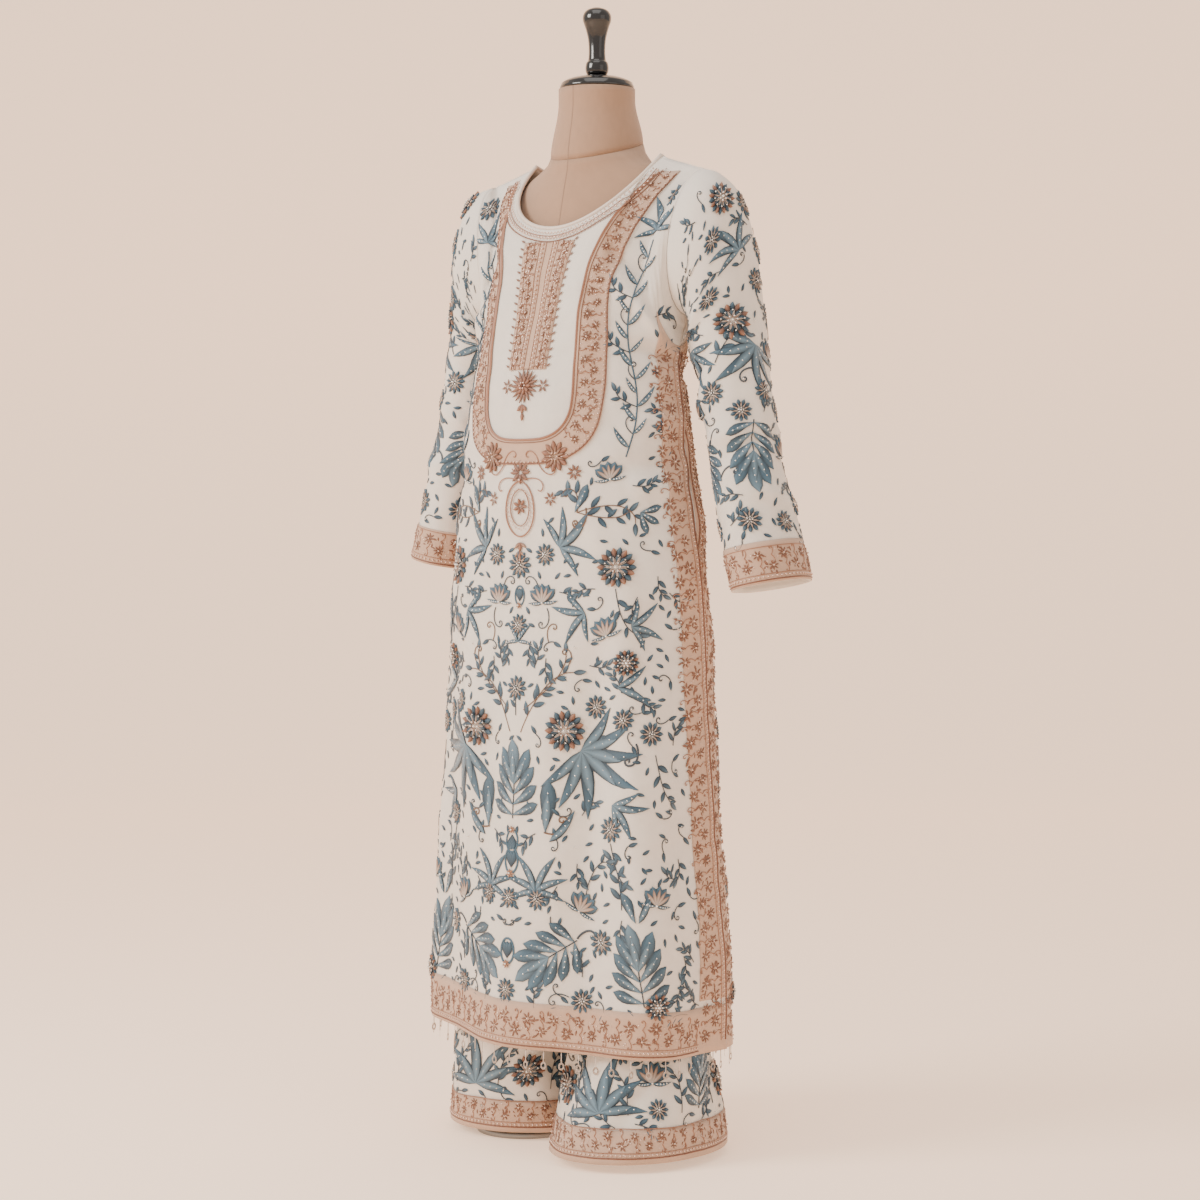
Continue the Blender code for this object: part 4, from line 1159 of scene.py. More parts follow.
def leaf(cloth, at, turn, length, shape=BLADE, flip=False, tip=SLATE):
    """One veined leaf."""
    cloth.add(shape, at, turn, length, DARK * 1.4, tip, 0.0013, 0.0, flip)
    cloth.add(SLIM_PETAL, at, turn + (-5 if flip else 5), length * 0.72, LIGHT, LIGHT, 0.0006,
              0.0009)
    bend = {id(BLADE): 0.24, id(LOBE): 0.10}.get(id(shape), 0.0)
    vein(cloth, at, turn, length, -bend if flip else bend, 0.0012)


def blade_fan(cloth, at, size, turn, count=6, spread=150):
    """Pointed leaves that spread from one place and curl away from the middle."""
    cloth.taken.append((*offset(at, turn, 0.45 * size), size * 0.46))
    for step in range(count):
        share = step / (count - 1) - 0.5
        leaf(cloth, at, turn + share * spread, size * (1.0 - 0.55 * abs(share)), BLADE,
             share < 0, SLATE * (1.0 + 0.25 * (step % 2)))


def palmette(cloth, at, size, turn, pairs=4):
    """A lobed leaf: rounded lobes in pairs up a middle line, and one at the top."""
    cloth.taken.append((*offset(at, turn, size * 0.5), size * 0.40))
    for pair in range(pairs):
        place = offset(at, turn, size * (0.04 + 0.125 * pair))
        for side in (-1, 1):
            leaf(cloth, place, turn + side * (72 - 13 * pair), size * (0.40 + 0.035 * pair),
                 LOBE, side > 0, SLATE * (0.95 + 0.12 * pair))
    leaf(cloth, offset(at, turn, size * 0.42), turn, size * 0.56, LOBE, False, LIGHT)
    cloth.cord(curl_path(at, turn, size * 0.5, 4, 8), 0.0016, DARK)


def bud(cloth, at, size, turn):
    """A cup of short petals between two curled sepals."""
    cloth.taken.append((*at, size * 0.5))
    for share in (-0.5, -0.25, 0.0, 0.25, 0.5):
        cloth.add(ROUND_PETAL, at, turn + share * 95, size * 0.72, DARK, SLATE * 1.2, 0.0020)
        cloth.add(SLIM_PETAL, at, turn + share * 95, size * 0.60, PALE, ROSE, 0.0010, 0.0016)
    for side in (-1, 1):
        leaf(cloth, at, turn + side * 100, size * 0.62, BLADE, side > 0)
    cloth.bead(at, 0.0016, 0.0012)


def pod(cloth, at, size, turn):
    """An oval pod in outline with a striped heart and a copper foot."""
    middle = offset(at, turn, size / 2)
    cloth.taken.append((*middle, size * 0.5))
    turns = np.linspace(0, 2 * math.pi, 25)
    oval = offset(middle, turn, np.cos(turns) * size * 0.5, np.sin(turns) * size * 0.30)
    cloth.cord(np.stack(oval, axis=1), size * 0.09, SLATE, 0.0016)
    for share in (-1, 0, 1):
        cloth.add(ROUND_PETAL, offset(at, turn, size * 0.22), turn + share * 13, size * 0.66,
                  DARK, SLATE, 0.0016)
    ring_of(cloth, ROUND_PETAL, at, 7, 0.0, size * 0.17, COPPER, ROSE, 0.0016, 0.0012)
    cloth.bead(at, 0.0015, 0.0022)


def scroll(cloth, at, turn, length, curl, colour=STEM, width=0.0016):
    """A cord that curls up and ends in a bead."""
    path = curl_path(at, turn, length, curl)
    cloth.cord(path, width, colour)
    cloth.bead(path[-1], 0.0012, 0.0004)


def heading_of(run):
    """Direction of a short run, in degrees."""
    return math.degrees(math.atan2(run[1], run[0]))


def small_leaf(cloth, at, turn, length):
    """One of the small leaves that fill the bare cloth."""
    cloth.add(SMALL_LEAF, at, turn, length, DARK * 1.5, SLATE * 1.2, 0.0011)


def sprig(cloth, at, turn, length, curl, leaves=6, size=0.016, colour=STEM):
    """A curved stem with small leaves on both sides and one at its tip."""
    path = curl_path(at, turn, length, curl)
    cloth.cord(path, 0.0014, colour)
    for step in range(leaves):
        index = 2 + int((len(path) - 4) * (step + 0.5) / leaves)
        heading = heading_of(path[index + 1] - path[index])
        side = -1 if step % 2 else 1
        cloth.add(SMALL_LEAF, path[index], heading + side * 48, size * (1.1 - 0.35 * step / leaves),
                  DARK * 1.5, SLATE * 1.25, 0.0012, 0.0, side > 0)
        cloth.taken.append((*path[index], size * 0.6))
    cloth.add(SMALL_LEAF, path[-1], heading_of(path[-1] - path[-2]), size, DARK * 1.5, LIGHT,
              0.0012)


def lay(cloth, motif, *rows):
    """The same motif at each of these places: across, up, then its own sizes."""
    for across, up, *sizes in rows:
        motif(cloth, (across, up), *sizes)


def fill_gaps(cloth, chance, across_low, across_high, up_low, up_high, margin, step=0.019):
    """Small leaves, scrolls and beads wherever there is still bare cloth."""
    placed = np.array(cloth.taken)
    for row, up in enumerate(np.arange(up_low, up_high, step)):
        for across in np.arange(across_low + (row % 2) * step / 2, across_high, step):
            at = np.array([across + chance.uniform(-0.4, 0.4) * step,
                           up + chance.uniform(-0.4, 0.4) * step])
            if abs(at[0]) > chart_end(cloth.chart, at[1]) - margin:
                continue
            room = np.min(np.hypot(placed[:, 0] - at[0], placed[:, 1] - at[1]) - placed[:, 2])
            if room < 0.005:
                continue
            kind = chance.random()
            turn = chance.uniform(0, 360)
            if room < 0.010:
                small_leaf(cloth, at, turn, 0.012)
            elif kind < 0.40:
                scroll(cloth, at, turn, 0.030, chance.choice((-430, 430)))
                small_leaf(cloth, at, turn + 150, 0.014)
            elif kind < 0.90:
                sprig(cloth, at, turn, 0.026, chance.choice((-60, 60)), 4, 0.014)
            else:
                cloth.bead(at, 0.0012, 0.0002)
            placed = np.vstack([placed, (*at, 0.010)])

# %% Thread and bead materials


def thread_material():
    """Satin stitch: glossy rows of thread, coloured by the shape's own colours."""
    material, weave = woven_material("satin thread", 4200.0, 0.5, 0.00015, {
        "Roughness": 0.42, "Specular IOR Level": 0.45, "Sheen Weight": 0.15})
    colour = material.node_tree.nodes.new("ShaderNodeVertexColor")
    colour.layer_name = "thread"
    material.node_tree.links.new(colour.outputs["Color"], weave.inputs["Colour"])
    return material


THREAD = thread_material()
CRYSTAL = plain_material("crystal bead", (0.86, 0.82, 0.78), 0.12, {"Metallic": 0.55})
ROSE_BEAD = plain_material("rose bead", (0.80, 0.58, 0.48), 0.18, {"Metallic": 0.45})

# %% [markdown]
# The front is laid out as the embroiderer would mark it: a middle line of flowers, a palmette and
# pods, and the same motifs mirrored on both sides of it. Small sprigs and scrolls fill the rest.

# %% The front's embroidery
FRONT_CHART, BACK_CHART = [panel_chart(panel, 0.1535, 1.325, 0.38) for panel in (front, back)]


def skirt_middle(cloth):
    """The motifs on the skirt's middle line."""
    lay(cloth, dahlia, (0, 0.792, 0.036), (0, 0.712, 0.030), (0, 0.628, 0.034), (0, 0.350, 0.028),
        (0, 0.228, 0.030))
    lay(cloth, pod, (0, 0.738, 0.026, 90), (0, 0.440, 0.030, -90), (0, 0.382, 0.034, 90),
        (0, 0.262, 0.034, 90))
    lay(cloth, blade_fan, (0, 0.690, 0.034, 90, 4, 170))
    lay(cloth, palmette, (0, 0.455, 0.108, 90))
    lay(cloth, sprig, (0, 0.592, 90, 0.030, 10, 2, 0.013))


def skirt_half(cloth):
    """The motifs on one half of the skirt."""
    lay(cloth, dahlia, (0.040, 0.806, 0.030), (0.118, 0.606, 0.032), (0.160, 0.590, 0.030),
        (0.198, 0.572, 0.032), (0.146, 0.448, 0.034), (0.042, 0.352, 0.032),
        (0.134, 0.300, 0.034), (0.108, 0.222, 0.032))
    lay(cloth, blade_fan, (0.062, 0.815, 0.062, 35, 5, 150), (0.100, 0.730, 0.052, 205, 4, 120),
        (0.165, 0.712, 0.050, 10, 4, 110), (0.098, 0.548, 0.096, -42, 7, 165),
        (0.148, 0.480, 0.056, -30, 4, 80), (0.040, 0.362, 0.056, 92, 6, 190))
    lay(cloth, great_flower, (0.142, 0.790, 0.054), (0.160, 0.665, 0.036), (0.076, 0.574, 0.056),
        (0.214, 0.222, 0.036))
    lay(cloth, leaf, (0.085, 0.862, 62, 0.040, LOBE), (0.150, 0.632, 25, 0.045, BLADE),
        (0.150, 0.632, -15, 0.050, BLADE, True), (0.052, 0.440, 82, 0.070, LOBE),
        (0.058, 0.428, 38, 0.052, BLADE), (0.190, 0.330, 60, 0.046, BLADE),
        (0.186, 0.330, 115, 0.044, LOBE))
    lay(cloth, bud, (0.130, 0.905, 0.034, 100), (0.038, 0.742, 0.036, 95),
        (0.132, 0.700, 0.036, 110), (0.100, 0.338, 0.038, 60), (0.212, 0.352, 0.036, 80))
    lay(cloth, scroll, (0.100, 0.868, -70, 0.060, -560, TAUPE, 0.0024),
        (0.030, 0.752, 80, 0.055, 480), (0.045, 0.735, -60, 0.050, -460),
        (0.075, 0.655, 40, 0.050, 470, TAUPE), (0.050, 0.690, 120, 0.045, -430, TAUPE),
        (0.178, 0.560, -60, 0.055, -480, STEM, 0.0028),
        (0.050, 0.440, -20, 0.070, 520, TAUPE, 0.0024), (0.062, 0.330, -100, 0.050, 480),
        (0.098, 0.302, 60, 0.045, -420, STEM, 0.0030), (0.090, 0.226, 150, 0.050, 450))
    lay(cloth, sprig, (0.142, 0.762, -80, 0.070, 70, 5, 0.017),
        (0.010, 0.570, 65, 0.115, -70, 7, 0.018, TAUPE),
        (0.014, 0.600, 35, 0.100, 60, 6, 0.016, TAUPE), (0.205, 0.545, -75, 0.065, 30, 5, 0.017),
        (0.146, 0.430, -80, 0.055, 50, 4, 0.016), (0.108, 0.356, 80, 0.060, -80, 5, 0.017),
        (0.165, 0.345, 95, 0.065, 40, 6, 0.020))
    lay(cloth, palmette, (0.098, 0.300, 0.104, 212), (0.196, 0.222, 0.110, 98))
    for turn, length, curl in ((20, 0.090, -120), (75, 0.060, 400), (-15, 0.070, 60)):
        sprig(cloth, (0.088, 0.862), turn, length, curl, 5, 0.018, TAUPE)
    for turn in (-75, -35, 10):
        leaf(cloth, (0.172, 0.862), turn, 0.030, LOBE)
    cloth.taken.append((0.185, 0.855, 0.020))


def side_vine(cloth, top, bottom):
    """A leafy vine that climbs the side of the bodice."""
    path = [(0.150 + 0.012 * math.sin((up - bottom) * 26), up)
            for up in np.arange(bottom, top, 0.006)]
    cloth.cord(path, 0.0022, SLATE * 0.8)
    for step, place in enumerate(path[2:-2:3]):
        side = -1 if step % 2 else 1
        size = (0.034, 0.026, 0.030)[step % 3]
        leaf(cloth, place, 90 + side * 52, size, BLADE, side > 0, SLATE * (1.0 + 0.3 * (step % 2)))
        cloth.taken.append((place[0], place[1], 0.024))
        if step % 4 == 1:
            scroll(cloth, place, 90 - side * 60, 0.042, side * 430)
        if step % 4 == 3:
            sprig(cloth, place, 90 - side * 70, 0.036, side * 50, 4, 0.015)


def dress_front(cloth):
    """Everything that is stitched in slate on the front."""
    skirt_middle(cloth)
    middle = cloth.taken + [(0, up, 0.124) for up in np.arange(1.00, 1.24, 0.04)]
    middle += [(0, 0.960, 0.108), (0, 0.905, 0.062), (0, 0.865, 0.036)]
    middle += [(0.06, 1.28, 0.100), (0.10, 1.32, 0.060)]
    for cloth.side in (1.0, -1.0):
        cloth.taken = list(middle)
        skirt_half(cloth)
        side_vine(cloth, 1.225, 0.935)
        blade_fan(cloth, (0.165, 1.235), 0.050, 100, 5, 160)
        dahlia(cloth, (0.176, 1.285), 0.034)
        chance = random.Random(4)
        fill_gaps(cloth, chance, 0.006, 0.30, 0.212, 0.93, 0.052, 0.017)
        fill_gaps(cloth, chance, 0.10, 0.24, 0.93, 1.30, 0.026, 0.017)


front_stitch = Stitching(FRONT_CHART, STITCH_LIFT)
dress_front(front_stitch)
front_stitch.build("front_embroidery", THREAD, CRYSTAL)

# %% [markdown]
# The borders are strips of tan net laid over the crepe: along the hem, up both sides of each panel,
# round the cuffs and the trouser hems, and in a long loop round the neck. A strip follows the cloth
# beneath it, so it takes the same creases.

# %% Border sheets
BAND_LIFT = 0.0013
BAND = 0.0009
BAND_STITCH_LIFT = BAND_LIFT + 0.0001


def band_sheet(name, points, closed, node):
    """A strip of net on these points of the cloth, lifted clear of it."""
    lifted = points + grid_normals(points, closed) * BAND_LIFT
    cloth_sheet(name, lifted, closed, NET_CLOTH, node, BAND)


def rows_up_to(points, height):
    """How many rows of a grid lie within this distance of its lower edge."""
    return int(np.searchsorted(lengths(points[:, points.shape[1] // 2]), height)) + 1


HEM_BAND = 0.055
SIDE_BAND_TOP = 1.085
SIDE_COLUMNS = 16
BACK_SIDE_COLUMNS = 11
CUFF_BAND = 0.050
LEG_BAND = 0.042
front_hem_rows = rows_up_to(front, HEM_BAND)
back_hem_rows = rows_up_to(back, HEM_BAND)
side_top_row = int(np.searchsorted(front[:, 0, 2], SIDE_BAND_TOP))
front_sides = front[front_hem_rows:side_top_row]
back_sides = back[back_hem_rows:side_top_row]
band_sheet("front_hem_band", front[:front_hem_rows], False, "hem_border_front")
band_sheet("back_hem_band", back[:back_hem_rows], False, "hem_border_back")
for label, strip, node in (
        ("front_right", front_sides[:, :SIDE_COLUMNS], "slit_border_front_right"),
        ("front_left", front_sides[:, -SIDE_COLUMNS:], "slit_border_front_left"),
        ("back_left", back_sides[:, :BACK_SIDE_COLUMNS], "slit_border_back_left"),
        ("back_right", back_sides[:, -BACK_SIDE_COLUMNS:], "slit_border_back_right")):
    band_sheet(f"{label}_side_band", strip, False, node)
for label, grid in (("left", left_sleeve), ("right", right_sleeve)):
    band_sheet(f"{label}_cuff_band", grid[:rows_up_to(grid, CUFF_BAND)], True,
               f"cuff_border_{label}")
for label, grid in (("left", left_leg), ("right", right_leg)):
    band_sheet(f"{label}_trouser_band", grid[:rows_up_to(grid, LEG_BAND), 2:-2], False,
               f"trouser_border_{label}")

# %% [markdown]
# The loop round the neck has straight sides and a rounded foot. Its ground is built on the chart
# of the front, between an inner and an outer edge.

# %% The loop's ground
Side = namedtuple("Side", "z inner outer")
BIB_SIDES = (
    Side(1.318, 0.122, 0.150),
    Side(1.290, 0.108, 0.136),
    Side(1.250, 0.092, 0.121),
    Side(1.210, 0.078, 0.110),
    Side(1.150, 0.071, 0.104),
    Side(1.090, 0.071, 0.108),
    Side(1.030, 0.073, 0.111),
)
BIB_BOTTOM_INNER = 0.958
BIB_BOTTOM_OUTER = 0.925
BIB_CORNER = 3.2
LOOP_LIFT = 0.0014
STRIP_CELLS = 10


def across_at(x, up):
    """Place across the front whose point lies this far from the middle plane."""
    row = min(max(int(round((up - FRONT_CHART.first_up) / CHART_STEP)), 0), FRONT_CHART.rows - 1)
    line = FRONT_CHART.points[row, :, 0]
    places = FRONT_CHART.first_across + CHART_STEP * np.arange(FRONT_CHART.columns)
    return float(np.interp(x, line, places))


def loop_edge(column, bottom, shift=0.0, steps=40):
    """One edge of the loop in chart metres, down one side, round its foot and up the other."""
    foot = BIB_SIDES[-1].z
    half = getattr(BIB_SIDES[-1], column) + shift
    places = []
    for z in np.linspace(BIB_SIDES[0].z, foot, steps):
        places.append((across_at(curve_value(BIB_SIDES, z, column) + shift, z), z))
    for turn in np.linspace(0, math.pi / 2, steps // 2)[1:]:
        x = half * math.cos(turn) ** (2 / BIB_CORNER)
        z = foot - (foot - bottom + shift) * math.sin(turn) ** (2 / BIB_CORNER)
        places.append((across_at(x, z), z))
    other = [(-across, z) for across, z in places[:-1]][::-1]
    return np.array(places + other)


def strip_points(chart, inner, outer, cells, lift):
    """A grid of points between two paths of the same length on a chart."""
    rows = []
    for share in np.linspace(0, 1, cells + 1):
        path = inner * (1 - share) + outer * share
        rows.append(on_chart(chart, path[:, 0], path[:, 1], np.full(len(path), lift)))
    return np.array(rows)


inner_edge = loop_edge("inner", BIB_BOTTOM_INNER)
outer_edge = loop_edge("outer", BIB_BOTTOM_OUTER)
loop_points = strip_points(FRONT_CHART, outer_edge[::-1], inner_edge[::-1], STRIP_CELLS,
                           LOOP_LIFT)
cloth_sheet("neck_loop_band", loop_points, False, NET_CLOTH, "bib_band", BAND)

# %% [markdown]
# The work on the borders is in rose thread: a cord along each edge, rows of beads, and small
# flowers between paired scrolls. Every repeat is drawn a little differently.

# %% Border work
ROSE_DARK = np.array((0.22, 0.090, 0.054))
ROSE_MID = np.array((0.37, 0.172, 0.105))
ROSE_PALE = np.array((0.58, 0.34, 0.22))


def bead_row(cloth, path, spacing=0.0062, radius=0.0014, raised=0.0):
    """Beads at even spacing along a path."""
    travelled = lengths(path)
    for place in np.arange(spacing / 2, travelled[-1], spacing):
        cloth.bead(point_on(path, travelled, place), radius, raised)


def border_flower(cloth, at, size, chance):
    """A small rose flower with a bead at its heart."""
    start = chance.uniform(0, 60)
    count = chance.choice((6, 7, 8))
    ring_of(cloth, SMALL_LEAF, at, count, size * 0.10, size * 0.44, ROSE_DARK, ROSE_MID, 0.0016,
            0.0, start)
    cloth.bead(at, 0.0014, 0.0010)


def border_work(cloth, low_edge, high_edge, chance, unit_length=0.0175):
    """Flowers, scrolls and leaves between two paths of the same length."""
    middle = (low_edge + high_edge) / 2
    travelled = lengths(middle)
    widths = np.linalg.norm(high_edge - low_edge, axis=1)
    count = max(int(travelled[-1] / unit_length), 1)
    for index in range(count):
        where = travelled[-1] * (index + 0.5) / count
        at = point_on(middle, travelled, where)
        run = point_on(middle, travelled, where + 0.004) - at
        heading = heading_of(run) if np.linalg.norm(run) > 1e-6 else 90.0
        width = float(np.interp(where, travelled, widths))
        side = -1 if index % 2 else 1
        off = np.array(offset((0, 0), heading + 90, 1.0))
        border_flower(cloth, at + off * side * width * 0.22, width * chance.uniform(0.36, 0.46),
                      chance)
        for turn in (40, -40):
            path = curl_path(at - off * side * width * 0.20, heading + turn * side,
                             width * 0.52, side * turn * 9, 12)
            cloth.cord(path, 0.0013, ROSE_MID, 0.0011)

        def spot(reach):
            """A random place in this unit, up to `reach` of the width from its middle line."""
            return at + off * width * chance.uniform(-reach, reach) + chance.uniform(
                -0.5, 0.5) * unit_length * np.array([off[1], -off[0]])

        for _ in range(6):
            cloth.add(SMALL_LEAF, spot(0.42), heading + chance.uniform(-180, 180),
                      width * chance.uniform(0.13, 0.22), ROSE_DARK, ROSE_MID * 1.2, 0.0012)
        for _ in range(4):
            cloth.bead(spot(0.44), 0.0011, 0.0002, STUD)


def level_path(up, half, steps=120):
    """A path across a chart at one height, the same distance to both sides."""
    return np.array([(across, up) for across in np.linspace(-half, half, steps)])


def side_path(chart, inset, low, high, sign, steps=110):
    """A path up a panel's side, this far in from its edge."""
    return np.array([(sign * (chart_end(chart, up) - inset), up)
                     for up in np.linspace(low, high, steps)])


def smoothed(path, window=9):
    """The same path with its small steps evened out."""
    pad = window // 2
    padded = np.pad(path, ((pad, pad), (0, 0)), mode="edge")
    return np.stack([np.convolve(padded[:, axis], np.ones(window) / window, mode="valid")
                     for axis in (0, 1)], axis=1)


def edged_border(cloth, low_edge, high_edge, chance, both_edges=True):
    """Cords and bead rows along a border's edges, and the work between them."""
    cloth.cord(low_edge, 0.0022, ROSE_DARK, 0.0016)
    bead_row(cloth, low_edge * 0.90 + high_edge * 0.10, 0.0060, 0.0015)
    cloth.cord(low_edge * 0.82 + high_edge * 0.18, 0.0012, ROSE_MID, 0.0010)
    if both_edges:
        cloth.cord(high_edge, 0.0012, ROSE_MID, 0.0010)
    border_work(cloth, low_edge * 0.80 + high_edge * 0.20, high_edge * 0.97 + low_edge * 0.03,
                chance)


SIDE_WORK = (0.003, 0.052)      # where the side borders' work starts and ends, from the edge
WORK_FOOT = 0.157               # height where it starts, on the chart
HEM_WORK_FOOT = 0.1575
HEM_WORK_TALL = 0.048


def panel_borders(chart, seed):
    """The work on one panel's hem and side borders."""
    work = Stitching(chart, BAND_STITCH_LIFT)
    chance = random.Random(seed)
    for sign in (1, -1):
        outer, inner = [smoothed(side_path(chart, inset, WORK_FOOT, SIDE_BAND_TOP, sign))
                        for inset in SIDE_WORK]
        edged_border(work, outer, inner, chance, False)
    half = chart_end(chart, 0.18) - 0.055
    low = level_path(HEM_WORK_FOOT, half)
    edged_border(work, low, low + (0.0, HEM_WORK_TALL), chance, False)
    return work


panel_borders(FRONT_CHART, 21).build("front_border_work", THREAD, ROSE_BEAD)
panel_borders(BACK_CHART, 22).build("back_border_work", THREAD, ROSE_BEAD)

# %% The work round the neck
NECK_STITCH_LIFT = 0.0016  # over the loop's and the column's own ground


def neck_path(drop, steps=60):
    """A path this far below the front neckline, from shoulder to shoulder."""
    places = []
    for share in np.linspace(-1, 1, steps):
        point = top_edge(share * (NECK_STEPS - 0.35) / HALF_STEPS, False)
        scale = 1.0 + drop / NECK_POINT[0]
        up = point[2] - drop * (1.0 - 0.55 * abs(share))
        places.append((across_at(point[0] * scale, min(up, 1.318)), up))
    return smoothed(np.array(places), 5)


def loop_work():
    """Cords, beads and flowers on the loop, and the loop's pendant."""
    work = Stitching(FRONT_CHART, NECK_STITCH_LIFT)
    chance = random.Random(31)
    half = len(inner_edge) // 2
    work.cord(smoothed(inner_edge, 5), 0.0034, ROSE_MID, 0.0026)
    work.cord(smoothed(inner_edge * 0.88 + outer_edge * 0.12, 5), 0.0012, ROSE_DARK, 0.0012)
    work.cord(smoothed(outer_edge * 0.97 + inner_edge * 0.03, 5), 0.0020, ROSE_DARK, 0.0016)
    bead_row(work, smoothed(outer_edge * 0.90 + inner_edge * 0.10, 5), 0.0064, 0.0014)
    for part in (slice(0, half - 8), slice(half + 8, None)):
        border_work(work, outer_edge[part] * 0.80 + inner_edge[part] * 0.20,
                    outer_edge[part] * 0.14 + inner_edge[part] * 0.86, chance, 0.015)
    for sign in (1, -1):
        at = (sign * 0.054, 0.936)
        ring_of(work, ROUND_PETAL, at, 11, 0.005, 0.016, ROSE_DARK, ROSE_MID, 0.0028)
        ring_of(work, SLIM_PETAL, at, 11, 0.002, 0.014, ROSE_PALE, ROSE_DARK, 0.0016, 0.0020, 16)
        bead_ring(work, at, 6, 0.005, 0.0013, 0.0030)
        border_flower(work, (sign * 0.082, 0.915), 0.020, chance)
        border_flower(work, (sign * 0.048, 0.880), 0.018, chance)
        for turn, length in ((100, 0.040), (150, 0.034), (-60, 0.040)):
            path = curl_path((sign * 0.030, 0.925), 90 + sign * (turn - 90), length, sign * 300)
            work.cord(path, 0.0016, ROSE_MID, 0.0014)
        path = curl_path((sign * 0.004, 0.905), 90 - sign * 70, 0.050, -sign * 260)
        work.cord(path, 0.0016, ROSE_MID, 0.0014)
    return work


def pendant(work):
    """The drop-shaped pendant at the foot of the loop."""
    turns = np.linspace(0, 2 * math.pi, 41)
    for size, width in ((1.0, 0.0022), (0.66, 0.0014)):
        across = np.sin(turns) * 0.022 * size
        up = 0.872 + 0.032 * size * np.cos(turns) - 0.010 * size * np.abs(np.sin(turns / 2))
        work.cord(np.stack([across, up], axis=1), width, ROSE_MID, 0.0016)
    turns = np.linspace(0, 2 * math.pi, 21)
    bead_row(work, np.stack([np.sin(turns) * 0.018, 0.867 + 0.027 * np.cos(turns)], axis=1),
             0.0062, 0.0013)
    ring_of(work, ROUND_PETAL, (0, 0.870), 7, 0.001, 0.010, ROSE_DARK, ROSE_MID, 0.0018)
    ring_of(work, SMALL_LEAF, (0, 0.915), 8, 0.002, 0.014, ROSE_DARK, ROSE_MID, 0.0018)
    for drop, size in ((0.822, 0.012), (0.810, 0.010), (0.800, 0.007)):
        work.add(ROUND_PETAL, (0, drop), -90, size, ROSE_DARK, ROSE_MID, 0.0018)
        for sign in (1, -1):
            work.add(SMALL_LEAF, (0, drop), -90 + sign * 50, size, ROSE_DARK, ROSE_PALE, 0.0014)
    work.bead((0, 0.905), 0.0018, 0.001)


neck_work = loop_work()
pendant(neck_work)
neck_work.build("neck_embroidery", THREAD, ROSE_BEAD)


def column_edge(half_low, half_high, low, high, steps=50):
    """The right edge of the column that hangs from the middle of the neckline."""
    heights = np.linspace(low, high, steps)
    part = (heights - low) / (high - low)
    return np.stack([half_low + (half_high - half_low) * part ** 2, heights], axis=1)


column_right = column_edge(0.031, 0.042, 1.052, 1.226)
column_left = column_right * (-1, 1)
column_points = np.moveaxis(
    strip_points(FRONT_CHART, column_left, column_right, STRIP_CELLS, BAND_LIFT), 0, 1)
cloth_sheet("neck_column_band", column_points, False, NET_CLOTH, None, BAND)


def column_work():
    """Bead rows, scrolls and a tassel flower on the column and round the neckline."""
    work = Stitching(FRONT_CHART, NECK_STITCH_LIFT)
    chance = random.Random(37)
    for share, radius in ((-0.13, 0.0018), (0.13, 0.0018), (-0.36, 0.0012), (0.36, 0.0012)):
        path = column_left * (0.5 - share) + column_right * (0.5 + share)
        bead_row(work, path, 0.0062, radius)
        for off in (-0.06, 0.06):
            lane = column_left * (0.5 - share - off) + column_right * (0.5 + share + off)
            work.cord(lane, 0.0010, ROSE_MID, 0.0010)
    for low_share, high_share in ((0.72, 0.98), (0.02, 0.28)):
        border_work(work, column_left * (1 - low_share) + column_right * low_share,
                    column_left * (1 - high_share) + column_right * high_share, chance, 0.010)
    for edge in (column_left, column_right):
        for place in edge[1::3]:
            work.add(SMALL_LEAF, place, 90 + math.copysign(60, -place[0]), 0.007, ROSE_DARK,
                     ROSE_MID, 0.0012)
    ring_of(work, SLIM_PETAL, (0, 1.030), 18, 0.004, 0.019, ROSE_DARK, ROSE_MID, 0.0020)
    ring_of(work, ROUND_PETAL, (0, 1.030), 9, 0.001, 0.011, ROSE_DARK, ROSE_MID, 0.0026, 0.0010)
    bead_ring(work, (0, 1.030), 6, 0.004, 0.0013, 0.0030)
    for sign in (1, -1):
        border_flower(work, (sign * 0.030, 1.030), 0.018, chance)
    for at, turn in (((0, 1.006), -90), ((0, 1.006), -50), ((0, 1.006), -130), ((0, 0.996), -90)):
        work.add(ROUND_PETAL, at, turn, 0.012, ROSE_DARK, ROSE_MID, 0.0018)
    for drop, radius in ((0.006, 0.0014), (0.013, 0.0017)):
        bead_row(work, neck_path(drop), 0.0056, radius)
    work.cord(neck_path(0.010), 0.0012, ROSE_MID, 0.0012)
    work.cord(neck_path(0.018), 0.0016, ROSE_DARK, 0.0014)
    return work


column_work().build("column_embroidery", THREAD, ROSE_BEAD)

# %% [markdown]
# The sleeves, the back and the trousers repeat the front's family of motifs, laid out for a tube or
# a plain panel. The work goes all the way round, since the suit is seen from every side.

# %% The sleeves' embroidery


